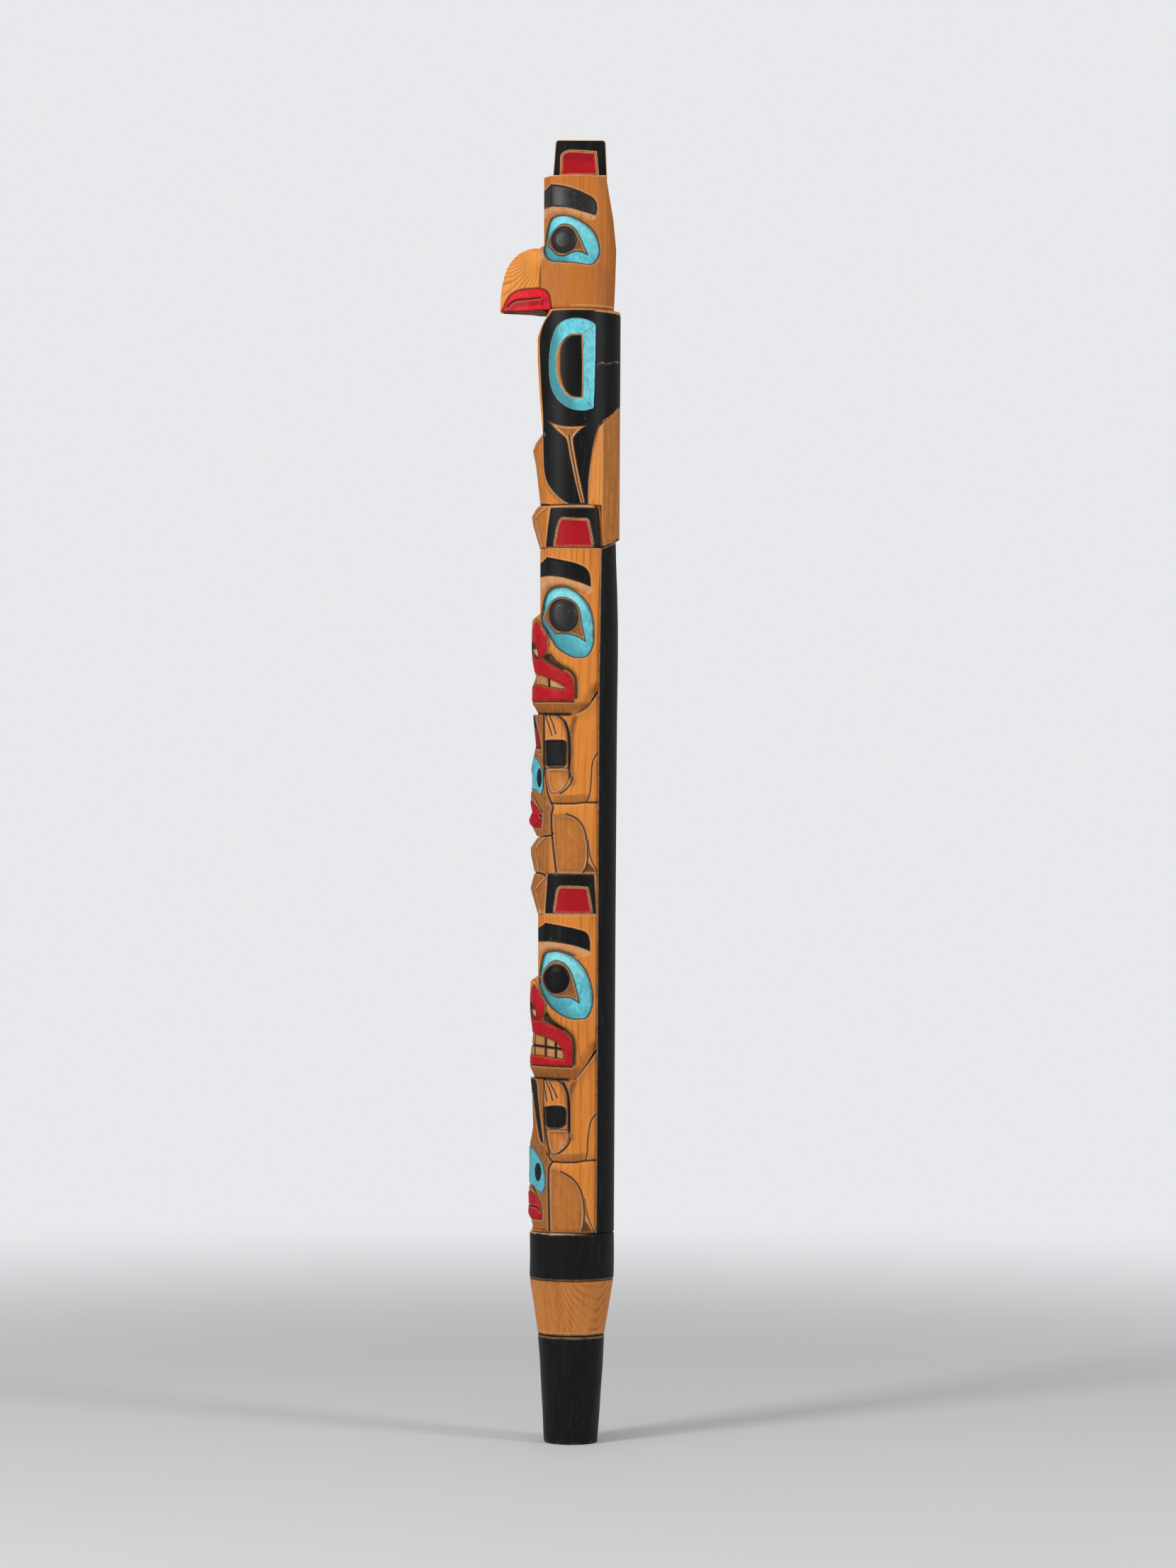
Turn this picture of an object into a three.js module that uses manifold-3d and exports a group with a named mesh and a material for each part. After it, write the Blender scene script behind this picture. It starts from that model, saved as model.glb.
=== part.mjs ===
// A speaker's staff: one cedar log carved with an eagle above two bears, painted, its beak glued on.
// Millimetres, +Z up, origin at the middle of the foot's resting face.
// The figures face -Y and their left side, the one that is drawn, is +X.
import * as THREE from 'three';
import { mergeVertices } from 'three/addons/utils/BufferGeometryUtils.js';
import Module from 'manifold-3d';

const wasm = await Module();
wasm.setup();

// Foot, grip and band, turned in line
const foot_height = 76.5;
const foot_tip_radius = 19;
const foot_top_radius = 23.5;
const foot_chamfer = 1.2;
const grip_height = 40;
const band_height = 33.5;
const band_bevel = 1.5;

// The log and what the carver leaves of it
const log_radius = 29.8;
const crest_swell = 1.4;
const figure_swell = 1;
const field_depth = 2.3;
const eagle_field_depth = 2.2;
const spine_thickness = 12.8;
const carving_height = 769.7;
const crest_log_radius = log_radius + crest_swell;
const figure_reach = log_radius + figure_swell;
const spine_front = log_radius - spine_thickness;

// Painted pieces and the seams around them
const seam = 0.3;
const paint_depth = 1.6;
const pupil_proud = 0.6;
const ear_depth = 6;
const ear_proud = 0.8;
const wing_depth = 3.5;
const ear_block_thickness = 40;
const bare_front_width = 26;

// The beak and the dowel that holds it
const beak_root_width = 30;
const beak_tip_width = 9;
const beak_ridge_width = 17;
const dowel_radius = 4;
const dowel_length = 30;
const dowel_clearance = 0.15;

// Facets round the turned parts, the carved figures and a pupil
const turned_facets = 48;
const figure_facets = 36;
const pupil_facets = 16;

// The drawing of the left side: columns and rows of the photograph's 1659 x 2212 pixel frame
const base_row = 1738;
const crest_row = 198.6;
const axis_row = 1770;
const axis_column = 806.9;
const axis_lean_share = 0.0052;
const half_log_columns = 59.6;

const carving_base = foot_height + grip_height + band_height;
const up_scale = carving_height / (base_row - crest_row);
const across_scale = log_radius / half_log_columns;

function level(row) {
  return carving_base + (base_row - row) * up_scale;
}

function behind_axis(column, row) {
  return (column - axis_column - (axis_row - row) * axis_lean_share) * across_scale;
}

function drawn(outline) {
  return outline.map(([column, row]) => new THREE.Vector2(behind_axis(column, row), level(row)));
}

// Rows at which one figure ends and the next begins
const neck_row = 438;
const eagle_top_row = 250;
const eagle_foot_row = 774;
const upper_jaw_row = 1008;
const lower_brow_row = 1290;
const lower_jaw_row = 1522;

// The lowest point of the eagle's forehead. The beak's glue joint stands in front of it by a
// number of columns, and the beak reaches forward from the joint.
const forehead_foot = [768, 346];
const joint_forward_columns = 6;
const beak_reach_columns = 56.5;
const joint_column = forehead_foot[0] - joint_forward_columns;
const beak_tip_column = joint_column - beak_reach_columns;

// Side outlines of the wood
const ear_block_outline = [
  [784.5, crest_row], [853, crest_row], [855.5, eagle_top_row], [780.5, eagle_top_row],
];
const eagle_head_outline = [
  [768, eagle_top_row], forehead_foot, [joint_column, 350], [joint_column, neck_row],
  [866.5, neck_row],
  [868.5, 398], [870, 352], [866, 311], [860, 276], [855.5, eagle_top_row],
];
const beak_outline = [
  [768, 349], [752.5, 349], [737.5, 353], [726, 361.5], [716.5, 375], [710.5, 392.5],
  [707, 411.5], [beak_tip_column, 437.5], [768, 437.5],
];
const eagle_body_outline = [
  [777, neck_row], [764, 460], [758.5, 476], [758.5, 506], [761.5, 560], [766, 613],
  [756.5, 624], [752.5, 634], [756.5, 653], [760.5, 688], [763, 711.5], [756.5, 719],
  [751.5, 728], [753.5, 740], [758.5, 757], [764, eagle_foot_row], [848, eagle_foot_row],
  [848, 640], [880, 590], [880, neck_row],
];
const wing_outline = [
  [777, neck_row], [764, 460], [759.5, 477.5], [760.5, 506], [762.5, 554], [765, 588.5],
  [768, 659], [772, 678.5], [779.5, 691.5], [795, 707], [804.5, 712.5], [829, 712.5],
  [833, 649.5], [842.5, 603.5], [861.5, 586.5], [880, 567], [880, neck_row],
];
const tail_outline = [
  [829, 714], [833, 649.5], [842.5, 603.5], [861.5, 586.5], [880, 567], [880, 752],
  [872.5, 759], [850.5, 772], [850.5, 714],
];
const upper_head_outline = [
  [762.5, 775], [762.5, 866], [751, 874.5], [750, 891], [750, 916], [751.5, 933],
  [756.5, 954], [751, 968.5], [750.5, 990], [755.5, 1006], [814, upper_jaw_row], [829, 998.5],
  [844.5, 976], [860, 976], [860, 775],
];
const upper_torso_outline = [
  [768, upper_jaw_row], [814, upper_jaw_row], [829, 998.5], [844.5, 976], [860, 976],
  [860, lower_brow_row], [759.5, lower_brow_row], [758, 1282.5], [749.5, 1253.5], [755.5, 1231],
  [749.5, 1203], [749.5, 1197], [761, 1180], [768, 1180],
];
const upper_face_outline = [
  [753, 1007], [756.5, 1052.5], [749, 1085], [748.5, 1113.5], [750, 1160], [758, 1179],
  [767.5, 1179], [767.5, 1007],
];
const lower_head_outline = [
  [759.5, lower_brow_row], [759.5, 1378], [748.5, 1385.5], [747.5, 1407.5], [748, 1426.5],
  [752.5, 1461], [748, 1491.5], [747.5, 1507], [750, 1519], [812, lower_jaw_row], [842.5, 1481],
  [860, 1481], [860, lower_brow_row],
];
const lower_torso_outline = [
  [770.5, lower_jaw_row], [812, lower_jaw_row], [842.5, 1481], [860, 1481], [860, base_row],
  [750, base_row], [751, 1734], [770.5, 1734],
];
const lower_face_outline = [
  [749, 1521], [747, 1600], [747, 1690], [748.5, 1722], [753, 1733], [770, 1733], [770, 1521],
];

// Side outlines of the painted pieces
const ear_block_inset_outline = [[802.5, 216.5], [839.5, 217.5], [842, 247], [793, 247.5]];
const eagle_brow_outline = [
  [770, 270], [778.5, 262.5], [800.5, 267], [821.5, 274.5], [838, 283.5], [842.5, 295],
  [840.5, 305.5], [821.5, 300.5], [802.5, 295.5], [781.5, 293], [771, 294],
];
const eagle_socket_outline = [
  [769, 346.5], [772, 327.5], [775.5, 312], [787, 306.5], [802.5, 307], [817.5, 314],
  [833, 322.5], [842.5, 335], [846.5, 348.5], [846.5, 363.5], [840.5, 373], [833, 375.5],
  [795, 372.5], [775.5, 369.5], [769, 358],
];
const eagle_eyelid_outline = [
  [773.5, 347], [779.5, 333], [793, 320.5], [804.5, 322.5], [814, 331], [821.5, 344.5],
  [829, 361], [817.5, 358], [806.5, 359], [795, 363.5], [785, 361], [777.5, 354],
];
const eagle_pupil = { forward_columns: 4.75, up_rows: 0.5, half_columns: 17, half_rows: 18 };
const eagle_mouth_outline = [
  [708.5, 440], [714.5, 423], [722, 412.5], [735.5, 407.5], [752.5, 407.5], [766, 408.5],
  [773.5, 415.5], [776.5, 427], [777.5, 440],
];
const wing_ring_outline = [
  [787, 460], [802.5, 453], [817.5, 451.5], [833, 454.5], [841.5, 460], [840.5, 515.5],
  [838.5, 577], [825.5, 581.5], [810, 580.5], [795, 573], [783.5, 561.5], [775.5, 542.5],
  [773.5, 515.5], [776.5, 487], [781.5, 469.5],
];
const wing_core_outline = [
  [784.5, 510], [787, 494.5], [795, 483], [806.5, 474.5], [823.5, 473], [825, 515.5],
  [824.5, 564.5], [806.5, 563.5], [795, 554], [785, 535],
];
const upper_ear_outline = [[777.5, 718.5], [844.5, 718.5], [848, 772.5], [771, 772.5]];
const upper_ear_inset_outline = [[793, 737], [828.5, 737.5], [835, 771], [784.5, 771]];
const upper_brow_outline = [
  [764, 794.5], [772, 787.5], [795, 792.5], [814, 797], [827.5, 804], [832, 814.5],
  [833, 828], [817.5, 822], [795, 815.5], [775.5, 812.5], [765, 813.5],
];
const upper_socket_outline = [
  [766, 856.5], [770, 837.5], [781.5, 830.5], [798.5, 829.5], [814, 836.5], [827.5, 849],
  [836, 866], [839, 887], [838, 910], [830, 925.5], [817.5, 929], [804.5, 926.5],
  [787, 916], [777.5, 902.5], [770, 891], [764.5, 878.5],
];
const upper_eyelid_outline = [
  [769, 871], [773.5, 856.5], [783.5, 846], [796.5, 844.5], [810, 850.5], [817.5, 862],
  [820.5, 879.5], [826.5, 905], [814, 898.5], [798.5, 894.5], [783.5, 894.5], [775.5, 883],
];
const upper_pupil = { forward_columns: 1.25, up_rows: 4.75, half_columns: 19.5, half_rows: 22 };
const upper_lips_outline = [
  [740, 872], [757.5, 876], [764, 883], [772, 896.5], [773, 910], [770, 921.5], [764, 931],
  [787, 944.5], [804.5, 954], [810, 967.5], [809, 988.5], [796.5, 990], [740, 985.5],
  [740, 970.5], [795, 975], [797.5, 969.5], [787, 963.5], [758.5, 953], [740, 936],
];
const lower_ear_outline = [[773.5, 1233.5], [838, 1234.5], [840.5, 1288], [770, 1288]];
const lower_ear_inset_outline = [[793, 1252.5], [827.5, 1254], [833, 1286], [784.5, 1286]];
const lower_brow_outline = [
  [761, 1309], [770, 1302.5], [795, 1307], [814, 1311], [827.5, 1315.5], [832, 1327],
  [832.5, 1340.5], [814, 1334], [795, 1330], [775.5, 1327.5], [761.5, 1328],
];
const lower_socket_outline = [
  [763, 1361.5], [767, 1344.5], [781.5, 1341.5], [795, 1343.5], [810, 1350], [825.5, 1365.5],
  [834, 1384.5], [837.5, 1403.5], [836, 1421], [829, 1434.5], [817.5, 1437], [802.5, 1436],
  [787, 1428.5], [775.5, 1419], [766, 1403.5], [761.5, 1388.5],
];
const lower_eyelid_outline = [
  [766.5, 1382], [770.5, 1367.5], [779.5, 1357], [793, 1357.5], [802.5, 1367.5], [810, 1382.5],
  [818.5, 1414], [804.5, 1407.5], [787, 1406.5], [775.5, 1400], [769, 1389],
];
const lower_pupil = { forward_columns: 6, up_rows: 4.5, half_columns: 16, half_rows: 19 };
const lower_lips_outline = [
  [740, 1382], [755.5, 1390], [764, 1403.5], [770, 1419], [768, 1434.5], [764, 1441],
  [779.5, 1447.5], [795, 1455.5], [806.5, 1468.5], [808, 1484], [806.5, 1503], [787, 1504],
  [740, 1502], [740, 1490.5], [775.5, 1492.5], [796.5, 1495.5], [795, 1482], [787, 1470.5],
  [772, 1463], [740, 1452],
];
const upper_pad_outline = [
  [771, 1046], [797, 1045.5], [799, 1050], [799, 1079], [796, 1083], [772, 1082.5],
  [770, 1078], [769.5, 1050],
];
const lower_pad_outline = [
  [773, 1561], [796, 1560.5], [798.5, 1564], [798.5, 1586.5], [795.5, 1590], [775, 1590],
  [772.5, 1586], [772, 1564],
];
const upper_face_eyes_outline = [
  [740, 1069], [756, 1069], [763, 1080], [765.5, 1096], [763, 1111], [755, 1119], [740, 1121],
];
const upper_face_lips_outline = [
  [740, 1129], [753, 1131], [762, 1146], [762, 1164], [755, 1170], [740, 1172],
];
const lower_face_eyes_outline = [
  [740, 1620], [755, 1621], [764, 1632], [767.5, 1651], [764, 1671], [756, 1681], [740, 1682],
];
const lower_face_lips_outline = [
  [740, 1686], [753, 1687], [763, 1700], [763, 1716], [755, 1722], [740, 1722],
];

// Finishes
function finish(color, roughness) {
  return new THREE.MeshStandardMaterial({ color, roughness, metalness: 0 });
}
const oiled_wood = finish(0xb97a42, 0.55);
const black_paint = finish(0x1b1a1c, 0.45);
const red_paint = finish(0xb01f30, 0.5);
const turquoise_paint = finish(0x5cb7c4, 0.55);

// Solids
function solid(geometry) {
  geometry.deleteAttribute('normal');
  geometry.deleteAttribute('uv');
  const merged = mergeVertices(geometry);
  return new wasm.Manifold(new wasm.Mesh({
    numProp: 3,
    vertProperties: new Float32Array(merged.attributes.position.array),
    triVerts: new Uint32Array(merged.index.array),
  }));
}

const staff = new THREE.Group();

function add(name, body, material) {
  const cut = body.getMesh();
  const geometry = new THREE.BufferGeometry();
  const places = new Float32Array(cut.numVert * 3);
  for (let i = 0; i < cut.numVert; i += 1) {
    places.set(cut.vertProperties.subarray(i * cut.numProp, i * cut.numProp + 3), i * 3);
  }
  geometry.setAttribute('position', new THREE.BufferAttribute(places, 3));
  geometry.setIndex(new THREE.BufferAttribute(new Uint32Array(cut.triVerts), 1));
  geometry.computeVertexNormals();
  const mesh = new THREE.Mesh(geometry, material);
  mesh.name = name;
  staff.add(mesh);
}

// An outline of the side drawing, extruded across the staff from one X to another
const across_axes = new THREE.Matrix4().makeBasis(
  new THREE.Vector3(0, 1, 0), new THREE.Vector3(0, 0, 1), new THREE.Vector3(1, 0, 0),
);
function across(outline, from, to) {
  const geometry = new THREE.ExtrudeGeometry(
    new THREE.Shape(outline), { depth: to - from, bevelEnabled: false, steps: 1 },
  );
  geometry.translate(0, 0, from);
  geometry.applyMatrix4(across_axes);
  return solid(geometry);
}

// An outline in X and Z, extruded from one Y to another
const along_axes = new THREE.Matrix4().makeBasis(
  new THREE.Vector3(1, 0, 0), new THREE.Vector3(0, 0, 1), new THREE.Vector3(0, -1, 0),
);
function along(outline, from, to) {
  const geometry = new THREE.ExtrudeGeometry(
    new THREE.Shape(outline), { depth: to - from, bevelEnabled: false, steps: 1 },
  );
  geometry.translate(0, 0, -to);
  geometry.applyMatrix4(along_axes);
  return solid(geometry);
}

// An outline in X and Y, extruded from one height to another
function upright(outline, from, to) {
  const geometry = new THREE.ExtrudeGeometry(
    new THREE.Shape(outline), { depth: to - from, bevelEnabled: false, steps: 1 },
  );
  geometry.translate(0, 0, from);
  return solid(geometry);
}

// An oval column about the axis
function column(half_width, half_depth, from, to) {
  const geometry = new THREE.CylinderGeometry(1, 1, 1, figure_facets);
  geometry.rotateX(Math.PI / 2);
  geometry.scale(half_width, half_depth, to - from);
  geometry.translate(0, 0, (from + to) / 2);
  return solid(geometry);
}

// An outline pushed outwards by a distance, or inwards where it is negative
const sharpest_corner_share = 0.35;
function grown(outline, distance) {
  const turn = Math.sign(THREE.ShapeUtils.area(outline));
  return outline.map((point, i) => {
    const before = outline[(i + outline.length - 1) % outline.length];
    const after = outline[(i + 1) % outline.length];
    const arriving = point.clone().sub(before).normalize();
    const leaving = after.clone().sub(point).normalize();
    const side = new THREE.Vector2(arriving.y, -arriving.x);
    const corner = side.clone().add(new THREE.Vector2(leaving.y, -leaving.x)).normalize();
    const reach = turn * distance / Math.max(corner.dot(side), sharpest_corner_share);
    return point.clone().addScaledVector(corner, reach);
  });
}

// A pupil, placed from the middle of its eyelid's outline
function middle(values) {
  return (Math.min(...values) + Math.max(...values)) / 2;
}

function oval(pupil, eyelid) {
  const column = middle(eyelid.map((point) => point[0])) - pupil.forward_columns;
  const row = middle(eyelid.map((point) => point[1])) - pupil.up_rows;
  const points = [];
  for (let i = 0; i < pupil_facets; i += 1) {
    const angle = i * 2 * Math.PI / pupil_facets;
    points.push([
      column + pupil.half_columns * Math.cos(angle),
      row + pupil.half_rows * Math.sin(angle),
    ]);
  }
  return drawn(points);
}

// A figure: an oval column cut to its side outline. Its skin can be asked for at any depth.
const side_reach = 2 * log_radius;
function figure(outline, half_width, half_depth) {
  const profile = drawn(outline);
  const heights = profile.map((point) => point.y);
  const bottom = Math.min(...heights);
  const top = Math.max(...heights);
  const round = (depth) => column(
    half_width - depth, half_depth - depth, bottom - side_reach, top + side_reach,
  );
  const at = (depth) => round(depth).intersect(
    across(grown(profile, -depth), -side_reach, side_reach),
  );
  return { at, round };
}

// The ranges of X that hold half of the staff, a side without its bare front, and the whole
const half_ranges = {
  left: [seam / 2, side_reach],
  right: [-side_reach, -seam / 2],
};
const ranges = {
  left: [bare_front_width / 2, side_reach],
  right: [-side_reach, -bare_front_width / 2],
  both: [-side_reach, side_reach],
};

// A painted layer on a figure's skin, and the pocket that it lies in. A deep one, such as an ear
// or a wing, has only the oval column under it.
function layer(
  skin, [from, to], outline, { hole = null, depth = paint_depth, proud = 0, floor = skin.at } = {},
) {
  let piece = across(outline, from, to);
  let pocket = across(grown(outline, seam), from - seam, to + seam);
  if (hole) {
    piece = piece.subtract(across(hole, -side_reach, side_reach));
    pocket = pocket.subtract(across(grown(hole, -seam), -side_reach, side_reach));
  }
  return {
    piece: piece.intersect(skin.at(-proud)).subtract(floor(depth)),
    pocket: pocket.subtract(floor(depth + seam)),
  };
}

// Foot, grip and band
function turned(profile) {
  const geometry = new THREE.LatheGeometry(
    profile.map(([radius, height]) => new THREE.Vector2(radius, height)), turned_facets,
  );
  geometry.rotateX(Math.PI / 2);
  return solid(geometry);
}
const grip_base = foot_height + seam;
const band_base = foot_height + grip_height;

add('foot', turned([
  [0, 0], [foot_tip_radius - foot_chamfer, 0], [foot_tip_radius, foot_chamfer],
  [foot_top_radius, foot_height], [0, foot_height],
]), black_paint);

add('grip', turned([
  [0, grip_base], [foot_top_radius, grip_base], [log_radius, band_base - seam],
  [0, band_base - seam],
]), oiled_wood);

add('band', turned([
  [0, band_base], [log_radius, band_base], [log_radius, carving_base - band_bevel - seam],
  [log_radius - band_bevel, carving_base - seam], [0, carving_base - seam],
]), black_paint);

// The spine: the strip of the log's own surface that is left down the back
function behind(front, from, to) {
  const geometry = new THREE.BoxGeometry(side_reach * 2, side_reach, to - from);
  geometry.translate(0, front + side_reach / 2, (from + to) / 2);
  return solid(geometry);
}
const spine_top = level(eagle_foot_row);
{
  const height = spine_top - carving_base;
  const log = new THREE.CylinderGeometry(crest_log_radius, log_radius, height, turned_facets);
  log.rotateX(Math.PI / 2);
  log.translate(0, 0, carving_base + height / 2);
  add('back_spine', solid(log).intersect(behind(spine_front, carving_base, spine_top)), black_paint);
}
const spine_seat = behind(spine_front - seam, carving_base - side_reach, spine_top);

// Bears
const bear_half_width = log_radius - field_depth;

function bear(name, parts, ear_seat) {
  const skin = figure(parts.head, bear_half_width, figure_reach);
  const body_skin = figure(parts.torso, bear_half_width, figure_reach);
  const face_skin = figure(parts.face, bear_half_width, figure_reach);
  const head_outline = drawn(parts.head);
  let head = skin.at(0).subtract(spine_seat);
  let torso = body_skin.at(0).subtract(spine_seat);
  torso = torso.subtract(across(grown(head_outline, seam), -side_reach, side_reach));
  torso = torso.subtract(across(grown(drawn(parts.face), seam), -side_reach, side_reach));
  let face = face_skin.at(0);
  face = face.subtract(across(grown(head_outline, seam), -side_reach, side_reach));

  for (const side of ['left', 'right']) {
    const range = ranges[side];
    const brow = layer(skin, range, drawn(parts.brow));
    const socket = layer(skin, range, drawn(parts.socket), { hole: drawn(parts.eyelid) });
    const pupil = layer(skin, range, oval(parts.pupil, parts.eyelid), { proud: pupil_proud });
    const pad = layer(body_skin, range, drawn(parts.pad), { floor: body_skin.round });
    head = head.subtract(brow.pocket).subtract(socket.pocket).subtract(pupil.pocket);
    torso = torso.subtract(pad.pocket);
    add(`${name}_brow_${side}`, brow.piece, black_paint);
    add(`${name}_eye_socket_${side}`, socket.piece, turquoise_paint);
    add(`${name}_pupil_${side}`, pupil.piece, black_paint);
    add(`${name}_paw_pad_${side}`, pad.piece, black_paint);

    const ear = layer(
      ear_seat.skin, range, drawn(parts.ear),
      { depth: ear_depth, proud: ear_proud, floor: ear_seat.skin.round },
    );
    const ear_skin = figure(parts.ear, ear_seat.half_width + ear_proud, ear_seat.half_depth + ear_proud);
    const inset = layer(ear_skin, range, drawn(parts.ear_inset), { floor: ear_skin.round });
    ear_seat.cut(ear.pocket);
    add(`${name}_ear_${side}`, ear.piece.subtract(inset.pocket), black_paint);
    add(`${name}_ear_inset_${side}`, inset.piece, red_paint);
  }

  const lips = layer(skin, ranges.both, drawn(parts.lips));
  head = head.subtract(lips.pocket);
  add(`${name}_lips`, lips.piece, red_paint);
  add(`${name}_head`, head, oiled_wood);

  const eyes = layer(face_skin, ranges.both, drawn(parts.face_eyes));
  const face_lips = layer(face_skin, ranges.both, drawn(parts.face_lips));
  face = face.subtract(eyes.pocket).subtract(face_lips.pocket);
  add(`${name}_small_face`, face, oiled_wood);
  add(`${name}_small_face_eyes`, eyes.piece, turquoise_paint);
  add(`${name}_small_face_lips`, face_lips.piece, red_paint);
  return { torso, skin: body_skin };
}

// The body that a bear's ears are let into belongs to the figure above
function seat(body, skin, half_width, half_depth) {
  const holder = { body, skin, half_width, half_depth };
  holder.cut = (pocket) => {
    holder.body = holder.body.subtract(pocket);
  };
  return holder;
}

// Eagle
const eagle_half_width = crest_log_radius - eagle_field_depth;
const head_skin = figure(eagle_head_outline, bear_half_width, crest_log_radius);
const body_skin = figure(eagle_body_outline, eagle_half_width, crest_log_radius);
const wing_skin = figure(wing_outline, eagle_half_width, crest_log_radius);
const tail_skin = figure(tail_outline, eagle_half_width, crest_log_radius);
const tail_room = across(grown(drawn(tail_outline), seam), -side_reach, side_reach);

function eagle_head() {
  const joint = behind_axis(joint_column, neck_row);
  const tip = behind_axis(beak_tip_column, neck_row);
  const beak_length = joint - tip;
  const chin = level(neck_row);
  const crown = level(beak_outline[0][1]);
  const cheek_share = 0.62;
  const middle_share = 0.6;
  const middle_width_share = 0.72;

  // The beak seen from above and from the front, its root running on into the head by a share
  function beak(depth, run_on) {
    const root = beak_root_width / 2 - depth;
    const nose = beak_tip_width / 2 - depth;
    const ridge = beak_ridge_width / 2 - depth;
    const middle = joint - beak_length * middle_share;
    const plan = [
      [root, joint + run_on], [root, joint], [root * middle_width_share, middle],
      [nose, tip], [-nose, tip], [-root * middle_width_share, middle], [-root, joint],
      [-root, joint + run_on],
    ].map(([x, y]) => new THREE.Vector2(x, y));
    const cheek = chin + (crown - chin) * cheek_share;
    const front = [
      [-root, chin - side_reach], [root, chin - side_reach], [root, cheek], [ridge, crown],
      [-ridge, crown], [-root, cheek],
    ].map(([x, z]) => new THREE.Vector2(x, z));
    return upright(plan, chin - side_reach, crown + side_reach)
      .intersect(along(front, tip - side_reach, joint + side_reach));
  }
  const profile = across(drawn(beak_outline), -side_reach, side_reach);
  const before_joint = behind(joint - seam, chin - side_reach, crown + side_reach);

  // The dowel lies level, half in the beak and half in the head
  const dowel_level = (chin + crown) / 2;
  function bar(radius, length) {
    const geometry = new THREE.CylinderGeometry(radius, radius, length, pupil_facets);
    geometry.translate(0, joint, 0);
    geometry.translate(0, 0, dowel_level);
    return solid(geometry);
  }
  const dowel = bar(dowel_radius, dowel_length);
  const bore = bar(dowel_radius + dowel_clearance, dowel_length + seam + seam);

  const full_beak = profile.intersect(beak(0, beak_length));
  const face = full_beak.add(head_skin.at(0));
  const inner = beak(paint_depth, beak_length).intersect(profile).add(head_skin.at(paint_depth));
  const deeper = beak(paint_depth + seam, beak_length)
    .intersect(profile).add(head_skin.at(paint_depth + seam));

  let head = head_skin.at(0).subtract(bore);
  let cut_beak = full_beak.subtract(before_joint).subtract(bore);
  for (const side of ['left', 'right']) {
    const range = ranges[side];
    const brow = layer(head_skin, range, drawn(eagle_brow_outline));
    const socket = layer(
      head_skin, range, drawn(eagle_socket_outline), { hole: drawn(eagle_eyelid_outline) },
    );
    const pupil = layer(
      head_skin, range, oval(eagle_pupil, eagle_eyelid_outline), { proud: pupil_proud },
    );
    head = head.subtract(brow.pocket).subtract(socket.pocket).subtract(pupil.pocket);
    add(`eagle_brow_${side}`, brow.piece, black_paint);
    add(`eagle_eye_socket_${side}`, socket.piece, turquoise_paint);
    add(`eagle_pupil_${side}`, pupil.piece, black_paint);

    const [from, to] = half_ranges[side];
    const mouth = across(drawn(eagle_mouth_outline), from, to).intersect(face).subtract(inner);
    const mouth_pocket = across(grown(drawn(eagle_mouth_outline), seam), from, to).subtract(deeper);
    head = head.subtract(mouth_pocket);
    cut_beak = cut_beak.subtract(mouth_pocket);
    add(`eagle_mouth_${side}`, mouth, red_paint);
  }
  add('eagle_head', head, oiled_wood);
  add('beak', cut_beak, oiled_wood);
  add('beak_dowel', dowel, oiled_wood);
}

function ear_block() {
  const outline = drawn(ear_block_outline);
  outline[2].y += seam;
  outline[3].y += seam;
  const half = ear_block_thickness / 2;
  const inset_outline = drawn(ear_block_inset_outline);
  let block = across(outline, -half, half);
  for (const [side, sign] of [['left', 1], ['right', -1]]) {
    const faces = [sign * half, sign * (half - paint_depth)].sort((a, b) => a - b);
    const floors = [sign * side_reach, sign * (half - paint_depth - seam)].sort((a, b) => a - b);
    block = block.subtract(across(grown(inset_outline, seam), floors[0], floors[1]));
    add(`eagle_ear_inset_${side}`, across(inset_outline, faces[0], faces[1]), red_paint);
  }
  add('eagle_ear_block', block, black_paint);
}

function eagle_body() {
  const head_room = across(grown(drawn(eagle_head_outline), seam), -side_reach, side_reach);
  let body = body_skin.at(0).subtract(head_room).subtract(tail_room);
  for (const side of ['left', 'right']) {
    const wing = layer(
      wing_skin, half_ranges[side], drawn(wing_outline),
      { depth: wing_depth, floor: wing_skin.round },
    );
    const ring = layer(
      wing_skin, ranges[side], drawn(wing_ring_outline), { hole: drawn(wing_core_outline) },
    );
    body = body.subtract(wing.pocket);
    const cut_wing = wing.piece.subtract(head_room).subtract(tail_room).subtract(ring.pocket);
    add(`eagle_wing_${side}`, cut_wing, black_paint);
    add(`eagle_wing_ring_${side}`, ring.piece, turquoise_paint);
  }
  add('eagle_tail', tail_skin.at(0), oiled_wood);
  return body;
}

ear_block();
eagle_head();
const eagle_seat = seat(eagle_body(), body_skin, eagle_half_width, crest_log_radius);
const upper = bear('upper_bear', {
  head: upper_head_outline, torso: upper_torso_outline, face: upper_face_outline,
  brow: upper_brow_outline, socket: upper_socket_outline, eyelid: upper_eyelid_outline,
  pupil: upper_pupil, lips: upper_lips_outline, pad: upper_pad_outline,
  ear: upper_ear_outline, ear_inset: upper_ear_inset_outline,
  face_eyes: upper_face_eyes_outline, face_lips: upper_face_lips_outline,
}, eagle_seat);
add('eagle_body', eagle_seat.body, oiled_wood);

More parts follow.
